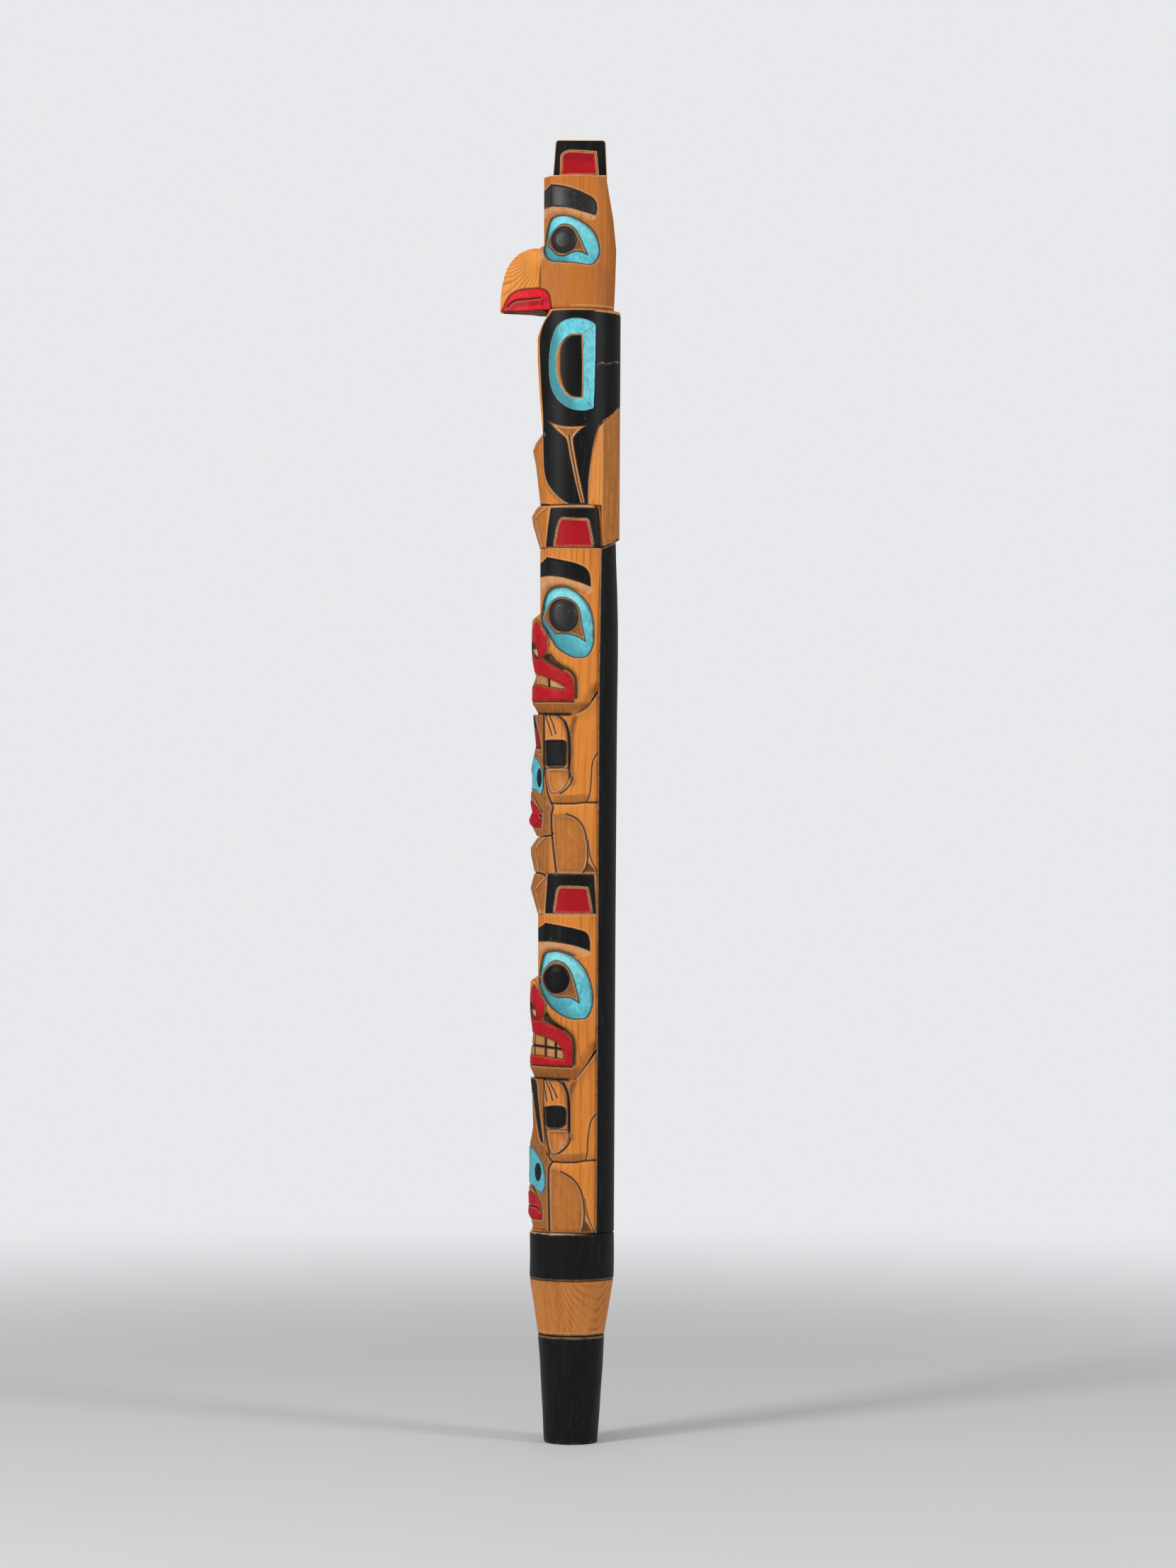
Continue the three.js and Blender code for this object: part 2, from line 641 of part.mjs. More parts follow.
const upper_seat = seat(upper.torso, upper.skin, bear_half_width, figure_reach);
const lower = bear('lower_bear', {
  head: lower_head_outline, torso: lower_torso_outline, face: lower_face_outline,
  brow: lower_brow_outline, socket: lower_socket_outline, eyelid: lower_eyelid_outline,
  pupil: lower_pupil, lips: lower_lips_outline, pad: lower_pad_outline,
  ear: lower_ear_outline, ear_inset: lower_ear_inset_outline,
  face_eyes: lower_face_eyes_outline, face_lips: lower_face_lips_outline,
}, upper_seat);
add('upper_bear_torso', upper_seat.body, oiled_wood);
add('lower_bear_torso', lower.torso, oiled_wood);

export default staff;
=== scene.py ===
import math
from functools import cache, partial

import bpy
import numpy as np
from bpy.props import FloatProperty, FloatVectorProperty, PointerProperty
from mathutils import Euler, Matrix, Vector
from mathutils.geometry import delaunay_2d_cdt


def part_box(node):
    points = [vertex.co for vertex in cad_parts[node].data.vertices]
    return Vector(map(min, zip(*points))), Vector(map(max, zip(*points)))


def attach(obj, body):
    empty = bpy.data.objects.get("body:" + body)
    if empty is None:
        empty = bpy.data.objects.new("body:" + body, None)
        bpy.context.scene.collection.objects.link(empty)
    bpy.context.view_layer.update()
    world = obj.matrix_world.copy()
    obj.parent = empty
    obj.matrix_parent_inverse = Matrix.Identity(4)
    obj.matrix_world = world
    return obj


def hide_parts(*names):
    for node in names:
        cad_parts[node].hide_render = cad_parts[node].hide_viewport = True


bl_info = {
    "name": "Speaker staff",
    "version": (1, 0, 0),
    "blender": (4, 5, 0),
    "location": "View3D > Sidebar > Staff",
    "description": "Carves and paints a speaker's staff of one cedar log round its packed solids",
    "category": "Add Mesh",
}

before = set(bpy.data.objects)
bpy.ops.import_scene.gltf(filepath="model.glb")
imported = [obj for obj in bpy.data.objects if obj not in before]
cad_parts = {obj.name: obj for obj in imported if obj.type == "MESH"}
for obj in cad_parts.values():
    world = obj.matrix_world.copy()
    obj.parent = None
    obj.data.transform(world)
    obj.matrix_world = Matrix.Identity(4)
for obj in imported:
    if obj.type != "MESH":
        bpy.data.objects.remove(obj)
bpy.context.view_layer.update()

# All carving is worked out in millimetres and written in metres
MM = 0.001

# The side drawing: columns and rows of a frame 2212 rows high
DRAWING_ROWS = 2212
MIDDLE_ROW, MIDDLE_COLUMN = 1106, 830.5
CARVING_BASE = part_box("back_spine")[0].z / MM
BASE_ROW = 1738.0
AXIS_ROW = 1770.0
AXIS_COLUMN = 806.9
AXIS_LEAN = 0.0052
PIXEL = 0.5

# The camera: the drawing's scale on the staff's near side, and the height of the sensor
PIXELS_PER_METRE = 2007.0
NEAR_SIDE = 27.0
SENSOR_HEIGHT = 36.0

# Rounds of the log and of the figures: half width and half depth
BEAR_ROUND = (27.5, 30.8)
EAGLE_HEAD_ROUND = (27.5, 31.2)
EAGLE_BODY_ROUND = (29.0, 31.2)
FOOT_TIP_RADIUS = 19.0

# The flat faces that seat the beak, as half width and half depth, and the cheek behind them
BEAK_SEAT = (18.7, 26.1)
CHEEK = 19.0

# The gap between two figures, the radius at which the round of the log is laid flat, a
# distance past all drawn lines, and the turn of the facets beside a flat front
SEAM = 0.12
UNROLL = 29.0
FAR = 1e3
FACET_TURN = math.radians(27)


def level(row):
    """Height of a row of the drawing"""
    return CARVING_BASE + (BASE_ROW - row) * PIXEL


def side_place(column, row):
    """Place behind the log's axis of a column of the drawing"""
    return (column - AXIS_COLUMN - (AXIS_ROW - row) * AXIS_LEAN) * PIXEL


def smooth(points, closed=True, step=1.3):
    """A smooth line through drawn points. A third value marks a corner."""
    places = np.array([point[:2] for point in points], float)
    sharp = [len(point) > 2 for point in points]
    count = len(places)
    line = []
    for i in range(count if closed else count - 1):
        j = (i + 1) % count
        a, b = places[i], places[j]
        before = places[i - 1] if (closed or i) and not sharp[i] else a
        after = places[(j + 1) % count] if (closed or j < count - 1) and not sharp[j] else b
        steps = max(2, int(round(np.linalg.norm(b - a) / step)))
        t = (np.arange(steps) / steps)[:, None]
        line.append(0.5 * (
            2 * a + (b - before) * t + (2 * before - 5 * a + 4 * b - after) * t ** 2
            + (3 * a - before - 3 * b + after) * t ** 3
        ))
    if not closed:
        line.append(places[-1:])
    return np.concatenate(line)


def ease(x):
    """0 below 0, 1 above 1, and a smooth step between them"""
    x = np.clip(x, 0, 1)
    return x * x * (3 - 2 * x)


def bump(x, at=0.0, width=1.0):
    """1 where x is at a value, falling smoothly to nothing on both sides of it"""
    x = (x - at) / width
    return np.exp(-x * x)


class Skin:
    """The round of a figure before carving, met by rays from the log's axis"""

    mirrored = True

    def __init__(self, half_width, half_depth, front, back=None, facet=None, planes=(),
                 seat=None):
        self.half_width = half_width
        self.half_depth = half_depth
        self.front = self.profile(front)
        self.back = self.profile(back) if back else None
        self.facet = by_level(facet) if facet else None
        self.planes = planes
        self.seat = seat
        self.kept = {}

    @staticmethod
    def profile(points):
        line = sorted((level(row), side_place(column, row)) for column, row in points)
        return np.array(line).T

    def radius(self, turn, up, soft=0.3):
        side, ahead = np.abs(np.sin(turn)), np.cos(turn)
        reaches = [1 / np.sqrt((side / self.half_width) ** 2 + (ahead / self.half_depth) ** 2)]

        def cut(distance, facing):
            reaches.append(np.where(facing > 0.05, distance / np.maximum(facing, 0.05), FAR))

        front = -np.interp(up, *self.front)
        cut(front, ahead)
        if self.facet is not None:
            start = np.interp(up, *self.facet)
            turned = side * math.sin(FACET_TURN) + ahead * math.cos(FACET_TURN)
            cut(start * math.sin(FACET_TURN) + front * math.cos(FACET_TURN), turned)
        if self.back is not None:
            cut(np.interp(up, *self.back), -ahead)
        for (x1, y1), (x2, y2) in self.planes:
            normal = np.array([y2 - y1, x1 - x2]) / math.hypot(x2 - x1, y2 - y1)
            cut(normal[0] * x1 + normal[1] * y1, normal[0] * side - normal[1] * ahead)
        stack = np.stack(np.broadcast_arrays(*reaches))
        least = stack.min(axis=0)
        return least - soft * np.log(np.exp(-(stack - least) / soft).sum(axis=0))

    def seated(self, turn, up, reach):
        """The reach, cut off at the back spine's front face"""
        if self.seat is None:
            return reach
        behind = np.interp(up, *self.seat) - SEAM
        back = -np.cos(turn)
        return np.minimum(reach, np.where(back > 0.05, behind / np.maximum(back, 0.05), FAR))

    def unroll(self, points):
        """Drawn places as distance round the log and height. Past the front of the side view
        they run on across the figure's front."""
        points = np.asarray(points, float)
        up = level(points[:, 1])
        behind = side_place(points[:, 0], points[:, 1])
        front = -np.interp(up, *self.front)
        goal = np.minimum(-behind, front - 0.05)
        low, high = np.zeros(len(up)), np.full(len(up), math.pi)
        for _ in range(26):
            middle = (low + high) / 2
            before = self.radius(middle, up, 0.01) * np.cos(middle) > goal
            low, high = np.where(before, middle, low), np.where(before, high, middle)
        past = np.maximum(-behind - front, 0)
        across = front * np.tan(low) - past
        turn = np.where(past > 0, np.arctan2(across, front), low)
        return np.column_stack((UNROLL * turn, up))

    def line(self, points, closed=True):
        """A drawn line, smoothed and unrolled, kept for the next call"""
        key = (id(points), closed)
        if key not in self.kept:
            self.kept[key] = (points, self.unroll(smooth(points, closed)))
        return self.kept[key][1]

    def place(self, around, up, height):
        """Places in space of a height above the skin"""
        turn = around / UNROLL
        reach = self.seated(turn, up, self.radius(turn, up) + height)
        return np.stack((reach * np.sin(turn), -reach * np.cos(turn), up), axis=-1) * MM


class Flat:
    """A flat side face, met straight from the side"""

    mirrored = False

    def __init__(self, half_thickness):
        self.half_thickness = half_thickness
        self.kept = {}

    def unroll(self, points):
        points = np.asarray(points, float)
        return np.column_stack((side_place(points[:, 0], points[:, 1]), level(points[:, 1])))

    line = Skin.line

    def place(self, around, up, height):
        out = np.full_like(around, self.half_thickness) + height
        return np.stack((out, around, up), axis=-1) * MM


def measure(around, up, line, closed=True, reach=12.0):
    """Distance to a line. It is negative inside a closed one, and on its right-hand side
    along an open one. Places further away than reach get reach."""
    distance = np.full(around.shape, float(reach))
    near = (
        (around > line[:, 0].min() - reach) & (around < line[:, 0].max() + reach)
        & (up > line[:, 1].min() - reach) & (up < line[:, 1].max() + reach)
    )
    x, y = around[near], up[near]
    best = np.full(x.shape, float(reach) ** 2)
    inside = np.zeros(x.shape, bool)
    ends = np.roll(line, -1, axis=0) if closed else line[1:]
    for (ax, ay), (bx, by) in zip(line, ends):
        px, py, qx, qy = x - ax, y - ay, bx - ax, by - ay
        length = qx * qx + qy * qy
        if length < 1e-9:
            continue
        share = np.clip((px * qx + py * qy) / length, 0, 1)
        away = (px - share * qx) ** 2 + (py - share * qy) ** 2
        closer = away < best
        best = np.where(closer, away, best)
        if closed:
            if ay != by:
                inside ^= ((ay > y) != (by > y)) & (px < qx * py / qy)
        else:
            inside = np.where(closer, px * qy - py * qx > 0, inside)
    distance[near] = np.where(inside, -1, 1) * np.sqrt(best)
    return distance


class Carving:
    """What the knife leaves at each place of a skin, how the wood there is stained, and where light
    and shade are painted on it
    """

    def __init__(self, skin, around, up):
        self.skin = skin
        self.around = np.abs(around) if skin.mirrored else around
        self.up = up
        self.height, self.dark, self.pale, self.brown, self.red = np.zeros((5, *around.shape))
        self.covered = np.full(around.shape, FAR)

    def to(self, points, closed=True, reach=12.0):
        """Distance to a drawn line"""
        return measure(self.around, self.up, self.skin.line(points, closed), closed, reach)

    def above(self, row):
        """Height above a row of the drawing"""
        return self.up - level(row)

    def beyond(self, *place):
        """Distances round the log and upwards from a drawn place"""
        around, up = self.skin.unroll([place])[0]
        return self.around - around, self.up - up

    # Lays dark, pale, brown and red on places: real stains and wear, and in places painted shade
    # and painted highlights
    def stain_and_shading(self, dark=0.0, pale=0.0, brown=0.0, red=0.0):
        self.dark = np.maximum(self.dark, dark)
        self.pale = np.maximum(self.pale, pale)
        self.brown = np.maximum(self.brown, brown)
        self.red = np.maximum(self.red, red)

    def groove(self, distance, depth=0.8, width=0.55, dark=0.85, pale=0.5, side=0):
        """A knife cut along a line, stained dark, its edge on one or both sides left pale"""
        self.height -= depth * bump(distance / width)
        rim = bump((np.abs(distance) - 1.9 * width) / (0.7 * width))
        if side:
            rim = np.where(distance * side > 0, rim, 0)
        self.height += 0.12 * rim
        self.stain_and_shading(dark=1.1 * dark * bump(distance / (1.15 * width)), pale=pale * rim)

    def line(self, points, **cut):
        self.groove(self.to(points, False, 6.0), **cut)

    def ridges(self, lines):
        """The raised creases of legs and toes, rubbed pale on top"""
        for line in lines:
            ridge = self.to(line, False, 6.0)
            self.stain_and_shading(pale=0.75 * bump(ridge, 0, 0.45), dark=0.5 * bump(ridge, 0.8, 0.4))
            self.height += 0.5 * bump(ridge, 0, 1.6)

    def sink(self, distance, depth, wall=0.6):
        """Lowers what lies inside an outline, behind a steep wall"""
        self.height -= depth * ease(-distance / wall)

    def cover(self, *layers):
        """Notes where painted layers lie, from distances that are negative inside them"""
        self.covered = np.minimum.reduce([self.covered, *layers])

    def bedded(self, depth):
        """Height of the wood, sunk to seat the painted layers"""
        return self.height - depth * ease((-self.covered - 0.2) / 0.6)

    def finish(self):
        """Stains, wear and painted light and shade as one layer: dark, pale, brown and red"""
        return np.clip(np.stack((self.dark, self.pale, self.brown, self.red), axis=-1), 0, 1)


def grow(line, distance):
    """A closed line pushed outwards, or inwards where the distance is negative"""
    ahead = np.roll(line, -1, axis=0) - line
    ahead /= np.maximum(np.linalg.norm(ahead, axis=1), 1e-9)[:, None]
    behind = np.roll(ahead, 1, axis=0)
    normal = np.column_stack((ahead[:, 1] + behind[:, 1], -ahead[:, 0] - behind[:, 0]))
    size = np.linalg.norm(normal, axis=1)[:, None]
    normal /= np.maximum(size, 1e-9)
    square = np.maximum((normal * np.column_stack((ahead[:, 1], -ahead[:, 0]))).sum(axis=1), 0.6)
    x, y = line[:, 0], line[:, 1]
    turn = np.sign((x * np.roll(y, -1) - np.roll(x, -1) * y).sum())
    return line + normal * (turn * distance / square)[:, None]


# Front and back lines of the figures, as columns and rows
EAGLE_HEAD_FRONT = [(768, 240), (768, 346), (762, 350), (762, 440)]
EAGLE_HEAD_BACK = [(855.5, 240), (855.5, 250), (860, 276), (866, 311), (870, 352), (868.5, 398),
                   (866.5, 440)]
EAGLE_BODY_FRONT = [
    (777, 437), (764, 460), (758.5, 476), (758.5, 506), (761.5, 560), (766, 613), (756.5, 624),
    (752.5, 634), (756.5, 653), (760.5, 688), (763, 711.5), (756.5, 719), (751.5, 728),
    (753.5, 740), (758.5, 757), (764, 775),
]
UPPER_HEAD_FRONT = [
    (762.5, 774), (762.5, 866), (751, 874.5), (750, 891), (750, 916), (751.5, 933), (756.5, 954),
    (751, 968.5), (750.5, 990), (755.5, 1006), (756, 1010),
]
UPPER_TORSO_FRONT = [
    (768, 1005), (768, 1179.5), (761, 1180), (749.5, 1197), (749.5, 1203), (755.5, 1231),
    (749.5, 1253.5), (758, 1282.7), (759.5, 1291),
]
UPPER_FACE_FRONT = [
    (752.5, 1006), (752.5, 1011), (756.5, 1052.5), (753.5, 1065.5), (749, 1085), (748.5, 1113.5),
    (749, 1129), (752.5, 1146), (749.3, 1153), (749.5, 1161), (753, 1170), (758, 1180),
]
LOWER_HEAD_FRONT = [
    (759.5, 1289), (759.5, 1378), (748.5, 1385.5), (747.5, 1407.5), (748, 1426.5), (752.5, 1461),
    (748, 1491.5), (747.5, 1507), (750, 1519), (751, 1523),
]
LOWER_TORSO_FRONT = [(766.5, 1519), (766.5, 1575), (770.5, 1630), (770.5, 1734), (751, 1734.5),
                     (750, 1739)]
LOWER_FACE_FRONT = [
    (748.5, 1520), (751, 1545), (752.5, 1590), (750, 1605), (746.5, 1620), (746.5, 1680),
    (747.5, 1700), (746.5, 1712), (750, 1722), (753, 1734),
]

# Half widths of the flat front where a facet turns to the side, as rows and widths
EAGLE_FACET = [(240, 13.0), (346, 13.0), (350, 18.0), (440, 18.0)]
UPPER_FACET = [(774, 12.0), (862, 12.0), (870, 22.0), (1010, 22.0)]
LOWER_FACET = [(1289, 12.0), (1374, 12.0), (1382, 22.0), (1523, 22.0)]


def by_level(points):
    return np.array(sorted((level(row), value) for row, value in points)).T


# The back of a tail, two flats on each side, in millimetres across and behind the axis
TAIL_FLATS = (((28.2, 6.0), (23.4, 18.4)), ((23.4, 18.4), (9.5, 31.0)))
TAIL_TOP = [(829, 714, 1), (833.5, 649.5), (843, 604.5, 1), (862, 586), (876, 571), (900, 566)]
TAIL_FOOT = [(829, 714, 1), (849.5, 714, 1), (850.5, 772, 1), (873, 759.3, 1), (900, 757)]
TAIL_AREA = TAIL_TOP + TAIL_FOOT[:0:-1]

# Front face of the back spine and the round of its back, as rows and millimetres
SPINE_SEAT = [(1745, 17.0), (985, 17.0), (870, 17.5), (770, 18.2)]
SPINE_ROUND = [(1745, 29.8), (1300, 29.9), (1020, 30.2), (925, 30.6), (880, 30.5), (835, 29.9),
               (795, 29.0), (770, 28.6)]

# Lines at which one figure ends and the next begins
UPPER_JAW = [(690, 1007.5), (812, 1008, 1), (829, 998.5), (844.5, 976, 1), (900, 976)]
LOWER_JAW = [(690, 1521), (812, 1522, 1), (829, 1500.5), (842.5, 1481, 1), (900, 1481)]

# The eagle's head
EAGLE = {
    "brow": [
        (757, 271), (768, 270), (778.5, 262.5, 1), (800.5, 267), (821.5, 274.5), (838, 283.5),
        (842.5, 295), (840.5, 305.5, 1), (821.5, 300.5), (802.5, 295.5), (781.5, 293, 1),
        (768, 294), (757, 294.5),
    ],
    "lid_slope": [
        (757, 294), (781.5, 293, 1), (802.5, 295.5), (821.5, 300.5), (840.5, 305.5, 1),
        (841.5, 310), (837, 313.5), (824, 312.5), (808, 306), (792, 304), (775, 307), (757, 311),
    ],
    "socket": [
        (769.5, 345, 1), (772, 327.5), (777, 312), (787, 306.5), (802.5, 307), (817.5, 313),
        (833, 323), (842.5, 335), (846.5, 348.5), (846.5, 361), (841, 371.5), (833, 376),
        (815, 374), (795, 372.5), (777, 370), (769, 362), (767.5, 352, 1),
    ],
    "eyelid": [
        (770.5, 346, 1), (779.5, 331.5), (790, 321.5), (799, 319.5), (809, 324), (817, 335),
        (823, 348), (829.5, 361.5, 1), (817.5, 357.5), (808, 359), (797, 363.5), (787, 362),
        (779.5, 354),
    ],
    "pupil": [
        (779.5, 342), (784, 329.5), (796.5, 323.5), (808, 328.5), (813.5, 341.5), (810, 353),
        (798, 359.5), (785, 355),
    ],
    "eye": (797, 341),
    "top_row": 250,
    "low_row": 437.6,
}

UPPER = {
    "brow": [
        (750, 795), (764, 794.5), (772, 787.5, 1), (795, 792.5), (814, 797), (827.5, 804),
        (832.5, 814.5), (833.5, 828, 1), (817.5, 822), (795, 815.5), (775.5, 812.5, 1),
        (765, 813.5), (750, 814),
    ],
    "lid_slope": [
        (752, 814), (765, 813.5), (775.5, 812.5, 1), (795, 815.5), (817.5, 822), (833.5, 828, 1),
        (837.5, 831), (836, 836), (828, 840.5), (817, 836.5), (798.5, 829.5), (781.5, 830.5),
        (770, 836), (764, 850), (752, 850),
    ],
    "socket": [
        (763.5, 873, 1), (767, 849), (773, 835.5), (784, 830), (798.5, 829.5), (814, 836.5),
        (827.5, 849), (836, 866), (839, 887), (838, 910), (830, 925.5), (817.5, 929),
        (804.5, 926.5), (787, 916), (777.5, 902.5), (770, 891), (764, 880, 1),
    ],
    "eyelid": [
        (767, 872, 1), (774, 857), (784, 846.5), (797, 844.5), (810, 850.5), (817.5, 862),
        (820.5, 879.5), (826.5, 905.5, 1), (814, 898.5), (798.5, 894.5), (785, 895, 1),
        (776, 884),
    ],
    "pupil": [
        (777, 866), (781, 853), (791, 847.5), (803, 849.5), (812, 857), (815.5, 872),
        (812, 885), (801, 892), (787, 889), (779, 879),
    ],
    "eye": (796.5, 870),
    "nose": [
        (690, 876), (750, 874.5), (758, 876.5), (765, 884), (771.5, 893.5), (774, 904),
        (772.5, 917), (765, 931, 1), (690, 936),
    ],
    "lips": [
        (757.5, 877, 1), (764, 883), (770.5, 893), (773.5, 904), (772, 917), (764, 931, 1),
        (775, 938), (787, 944.5), (800, 950.5), (806.5, 957), (810, 967.5), (810.5, 980),
        (809, 988.5, 1), (796.5, 990), (775, 989), (690, 987, 1), (690, 967, 1), (752, 967.5),
        (775, 971.5), (797, 974.5), (798.5, 969.5, 1), (787, 962.5), (772, 956), (758, 950.5),
        (690, 935, 1), (690, 901, 1), (742, 898), (750, 893.5), (753, 886),
    ],
    "nostril": [
        (745, 907, 1), (750, 905.5), (755.5, 907), (760, 913), (763, 922), (762, 930, 1),
        (756.5, 925), (752, 919), (749.7, 914.5), (745, 913, 1),
    ],
    "nostril_floor": 914.5,
    "mouth": [
        (690, 935, 1), (758, 950.5), (772, 956), (787, 962.5), (798.5, 969.5, 1), (797, 974.5),
        (775, 971.5), (752, 967.5), (690, 967, 1),
    ],
    "teeth": [
        [(772.5, 950), (774.5, 980)], [(753.5, 940), (753.5, 980)],
        [(735, 940), (735, 980)],
    ],
    "lip_fold": [
        (766, 926), (776, 925, 1), (783, 934), (793, 941.5), (804, 947), (811, 955),
        (813.5, 967), (813.5, 985),
    ],
    "chin": [(690, 988.5), (775, 990.5), (811, 991)],
    "nose_foot": 936,
    "wedge": [(765.5, 930, 1), (768, 925.5), (773, 925, 1), (779, 932), (788, 939.5),
              (799, 946, 1), (793, 946.5), (786, 943), (775, 937.5)],
    "jaw": UPPER_JAW,
    "top_row": 774.4,
    "chin_row": 991,
}

LOWER = {
    "brow": [
        (745, 1309), (761, 1309), (770, 1302.5, 1), (795, 1307), (814, 1311), (827.5, 1316),
        (832, 1327), (832.5, 1340.5, 1), (814, 1334), (795, 1330), (775.5, 1327.5, 1),
        (761.5, 1328), (745, 1328.5),
    ],
    "lid_slope": [
        (748, 1328), (761.5, 1328), (775.5, 1327.5, 1), (795, 1330), (814, 1334),
        (832.5, 1340.5, 1), (836, 1342), (834, 1346), (824, 1349), (810, 1349),
        (795, 1343.5), (781.5, 1341.5), (768, 1343), (762, 1352), (748, 1352),
    ],
    "socket": [
        (760.5, 1381, 1), (763, 1361.5), (768, 1345), (781.5, 1341.5), (795, 1343.5),
        (810, 1350), (825.5, 1365.5), (834, 1384.5), (837.5, 1403.5), (836, 1421), (829, 1434.5),
        (817.5, 1437), (802.5, 1436), (787, 1428.5), (775.5, 1419), (766, 1403.5), (760.5, 1388, 1),
    ],
    "eyelid": [
        (763.5, 1380, 1), (770.5, 1366), (779.5, 1357), (788, 1355.5), (797, 1359.5),
        (805, 1369), (810, 1383), (818, 1414, 1), (804.5, 1406.5), (787, 1406), (775.5, 1399),
        (767, 1388, 1),
    ],
    "pupil": [
        (769, 1378), (775, 1366.5), (785, 1361.5), (797, 1365), (803.5, 1377), (801.5, 1390.5),
        (793, 1399), (781, 1400), (772, 1391.5),
    ],
    "eye": (786.5, 1381),
    "nose": [
        (690, 1387), (749, 1385), (756.5, 1389), (763, 1402), (769.5, 1414), (769, 1427),
        (764, 1441, 1), (690, 1447),
    ],
    "lips": [
        (755, 1390, 1), (760, 1397), (765, 1406), (769.5, 1416), (768, 1429), (764, 1441, 1),
        (779.5, 1446.5), (795, 1455), (804.5, 1464), (808, 1478), (807, 1503, 1), (787, 1503.5),
        (760, 1502), (690, 1500, 1), (690, 1490, 1), (750, 1490.5), (775.5, 1492.5),
        (797, 1495.5, 1), (795, 1482), (787, 1470.5), (772, 1463), (750, 1457), (690, 1445, 1),
        (690, 1408, 1), (740, 1406), (748.5, 1402), (751.5, 1395),
    ],
    "nostril": [
        (743, 1416, 1), (748, 1414.5), (753, 1416), (757.5, 1421), (760, 1429), (759.5, 1437.5, 1),
        (754, 1433), (750, 1427.5), (747.5, 1423.5), (743, 1422, 1),
    ],
    "nostril_floor": 1424,
    "mouth": [
        (690, 1446, 1), (750, 1457), (772, 1463), (787, 1470.5), (795, 1482), (797, 1495.5, 1),
        (775.5, 1492.5), (750, 1490.5), (690, 1490, 1),
    ],
    "teeth": [
        [(768.5, 1455), (768.5, 1497)], [(783.5, 1460), (783.5, 1497)],
        [(752.5, 1450), (752.5, 1497)], [(738, 1448), (738, 1497)],
        [(690, 1474), (752, 1475.5), (797, 1480)],
    ],
    "lip_fold": [
        (763, 1437), (771, 1430, 1), (777, 1439), (788, 1447), (799, 1453.5), (808, 1463),
        (811, 1477), (810.5, 1500),
    ],
    "chin": [(690, 1501.5), (760, 1503.5), (808, 1504.5)],
    "nose_foot": 1446,
    "wedge": [(765.5, 1440, 1), (768, 1432), (772, 1429.5, 1), (777, 1437), (786, 1444.5),
              (798, 1452, 1), (794, 1453.5), (785, 1449), (776, 1444.5)],
    "jaw": LOWER_JAW,
    "top_row": 1290.4,
    "chin_row": 1504.5,
}

# The torsos, hands and feet
UPPER_BODY = {
    "hand": [
        (766, 1006, 1), (779.5, 1008.5), (794, 1018), (800.5, 1032), (802.5, 1050),
        (802.5, 1083, 1), (768.5, 1083, 1),
    ],
    "fingers": [
        [(770, 1010), (774.5, 1022), (779.5, 1038)], [(775.5, 1010), (781, 1022), (785, 1036)],
    ],
    "pad": [
        (770, 1046.5), (783, 1045, 1), (796.5, 1046), (799.5, 1052), (799, 1068), (797.5, 1080),
        (784, 1083.5), (772.5, 1080.5), (769.5, 1068), (769.5, 1053),
    ],
    "hollow": [
        (771.5, 1085, 1), (786, 1084.5), (802, 1085, 1), (802.5, 1096), (797.5, 1109),
        (788, 1117.5), (779, 1118), (774, 1105),
    ],
    "wrist": [(797, 1018), (802, 1034), (803.3, 1060), (803.3, 1085), (805, 1097)],
    "cuff": [(808.5, 1097), (805, 1107), (798, 1115), (790, 1120.5)],
    "arm_front": [(813, 1013), (808, 1035), (807, 1062), (807.5, 1092), (810, 1104)],
    "elbow": [(845.5, 1061), (839.5, 1069), (836, 1080), (834.5, 1104), (832.5, 1121),
              (829, 1131)],
    "belt": [(776, 1131, 1), (782, 1134), (812, 1134), (826, 1132.5), (860, 1132.5)],
    "hand_front": [(768, 1006), (768.3, 1083), (771, 1110), (776.5, 1131)],
    "leg_front": [(776.5, 1133), (780.5, 1140), (778, 1154), (780, 1190), (785, 1231)],
    "shin": [
        (779, 1152), (785, 1150.5), (799, 1149.5), (814, 1156), (823.5, 1169), (828.5, 1189),
        (829, 1209), (826.5, 1225), (823, 1232), (786, 1232, 1), (781, 1192),
    ],
    "knee": [(799, 1148.5), (814, 1155), (824, 1168), (829.3, 1189), (830, 1208), (828, 1222),
             (824, 1231)],
    "heel": [(829.5, 1213, 1), (834, 1219), (844, 1231, 1), (823.5, 1231, 1)],
    "heel_line": [(830.5, 1186), (834, 1210), (844, 1230)],
    "feet": [
        [(772, 1180), (764, 1187), (756.5, 1197.7)], [(756.5, 1197.7), (759, 1217), (762.5, 1238)],
        [(736, 1184), (735, 1197), (736, 1229)],
        [(771, 1238), (763, 1246), (756.5, 1255.5)], [(756.5, 1255.5), (760, 1270), (764, 1288)],
        [(736, 1236), (735, 1256), (736, 1286)],
    ],
    "foot_splits": [[(690, 1231), (756, 1231.5), (770, 1236)],
                    [(690, 1180), (768, 1180), (780, 1176)]],
    "cheek": [(762, 1100, 1), (770, 1112), (777, 1133), (780.5, 1141), (778, 1154), (779, 1177),
              (762, 1181, 1)],
    "jaw": UPPER_JAW,
    "low_row": 1290,
}
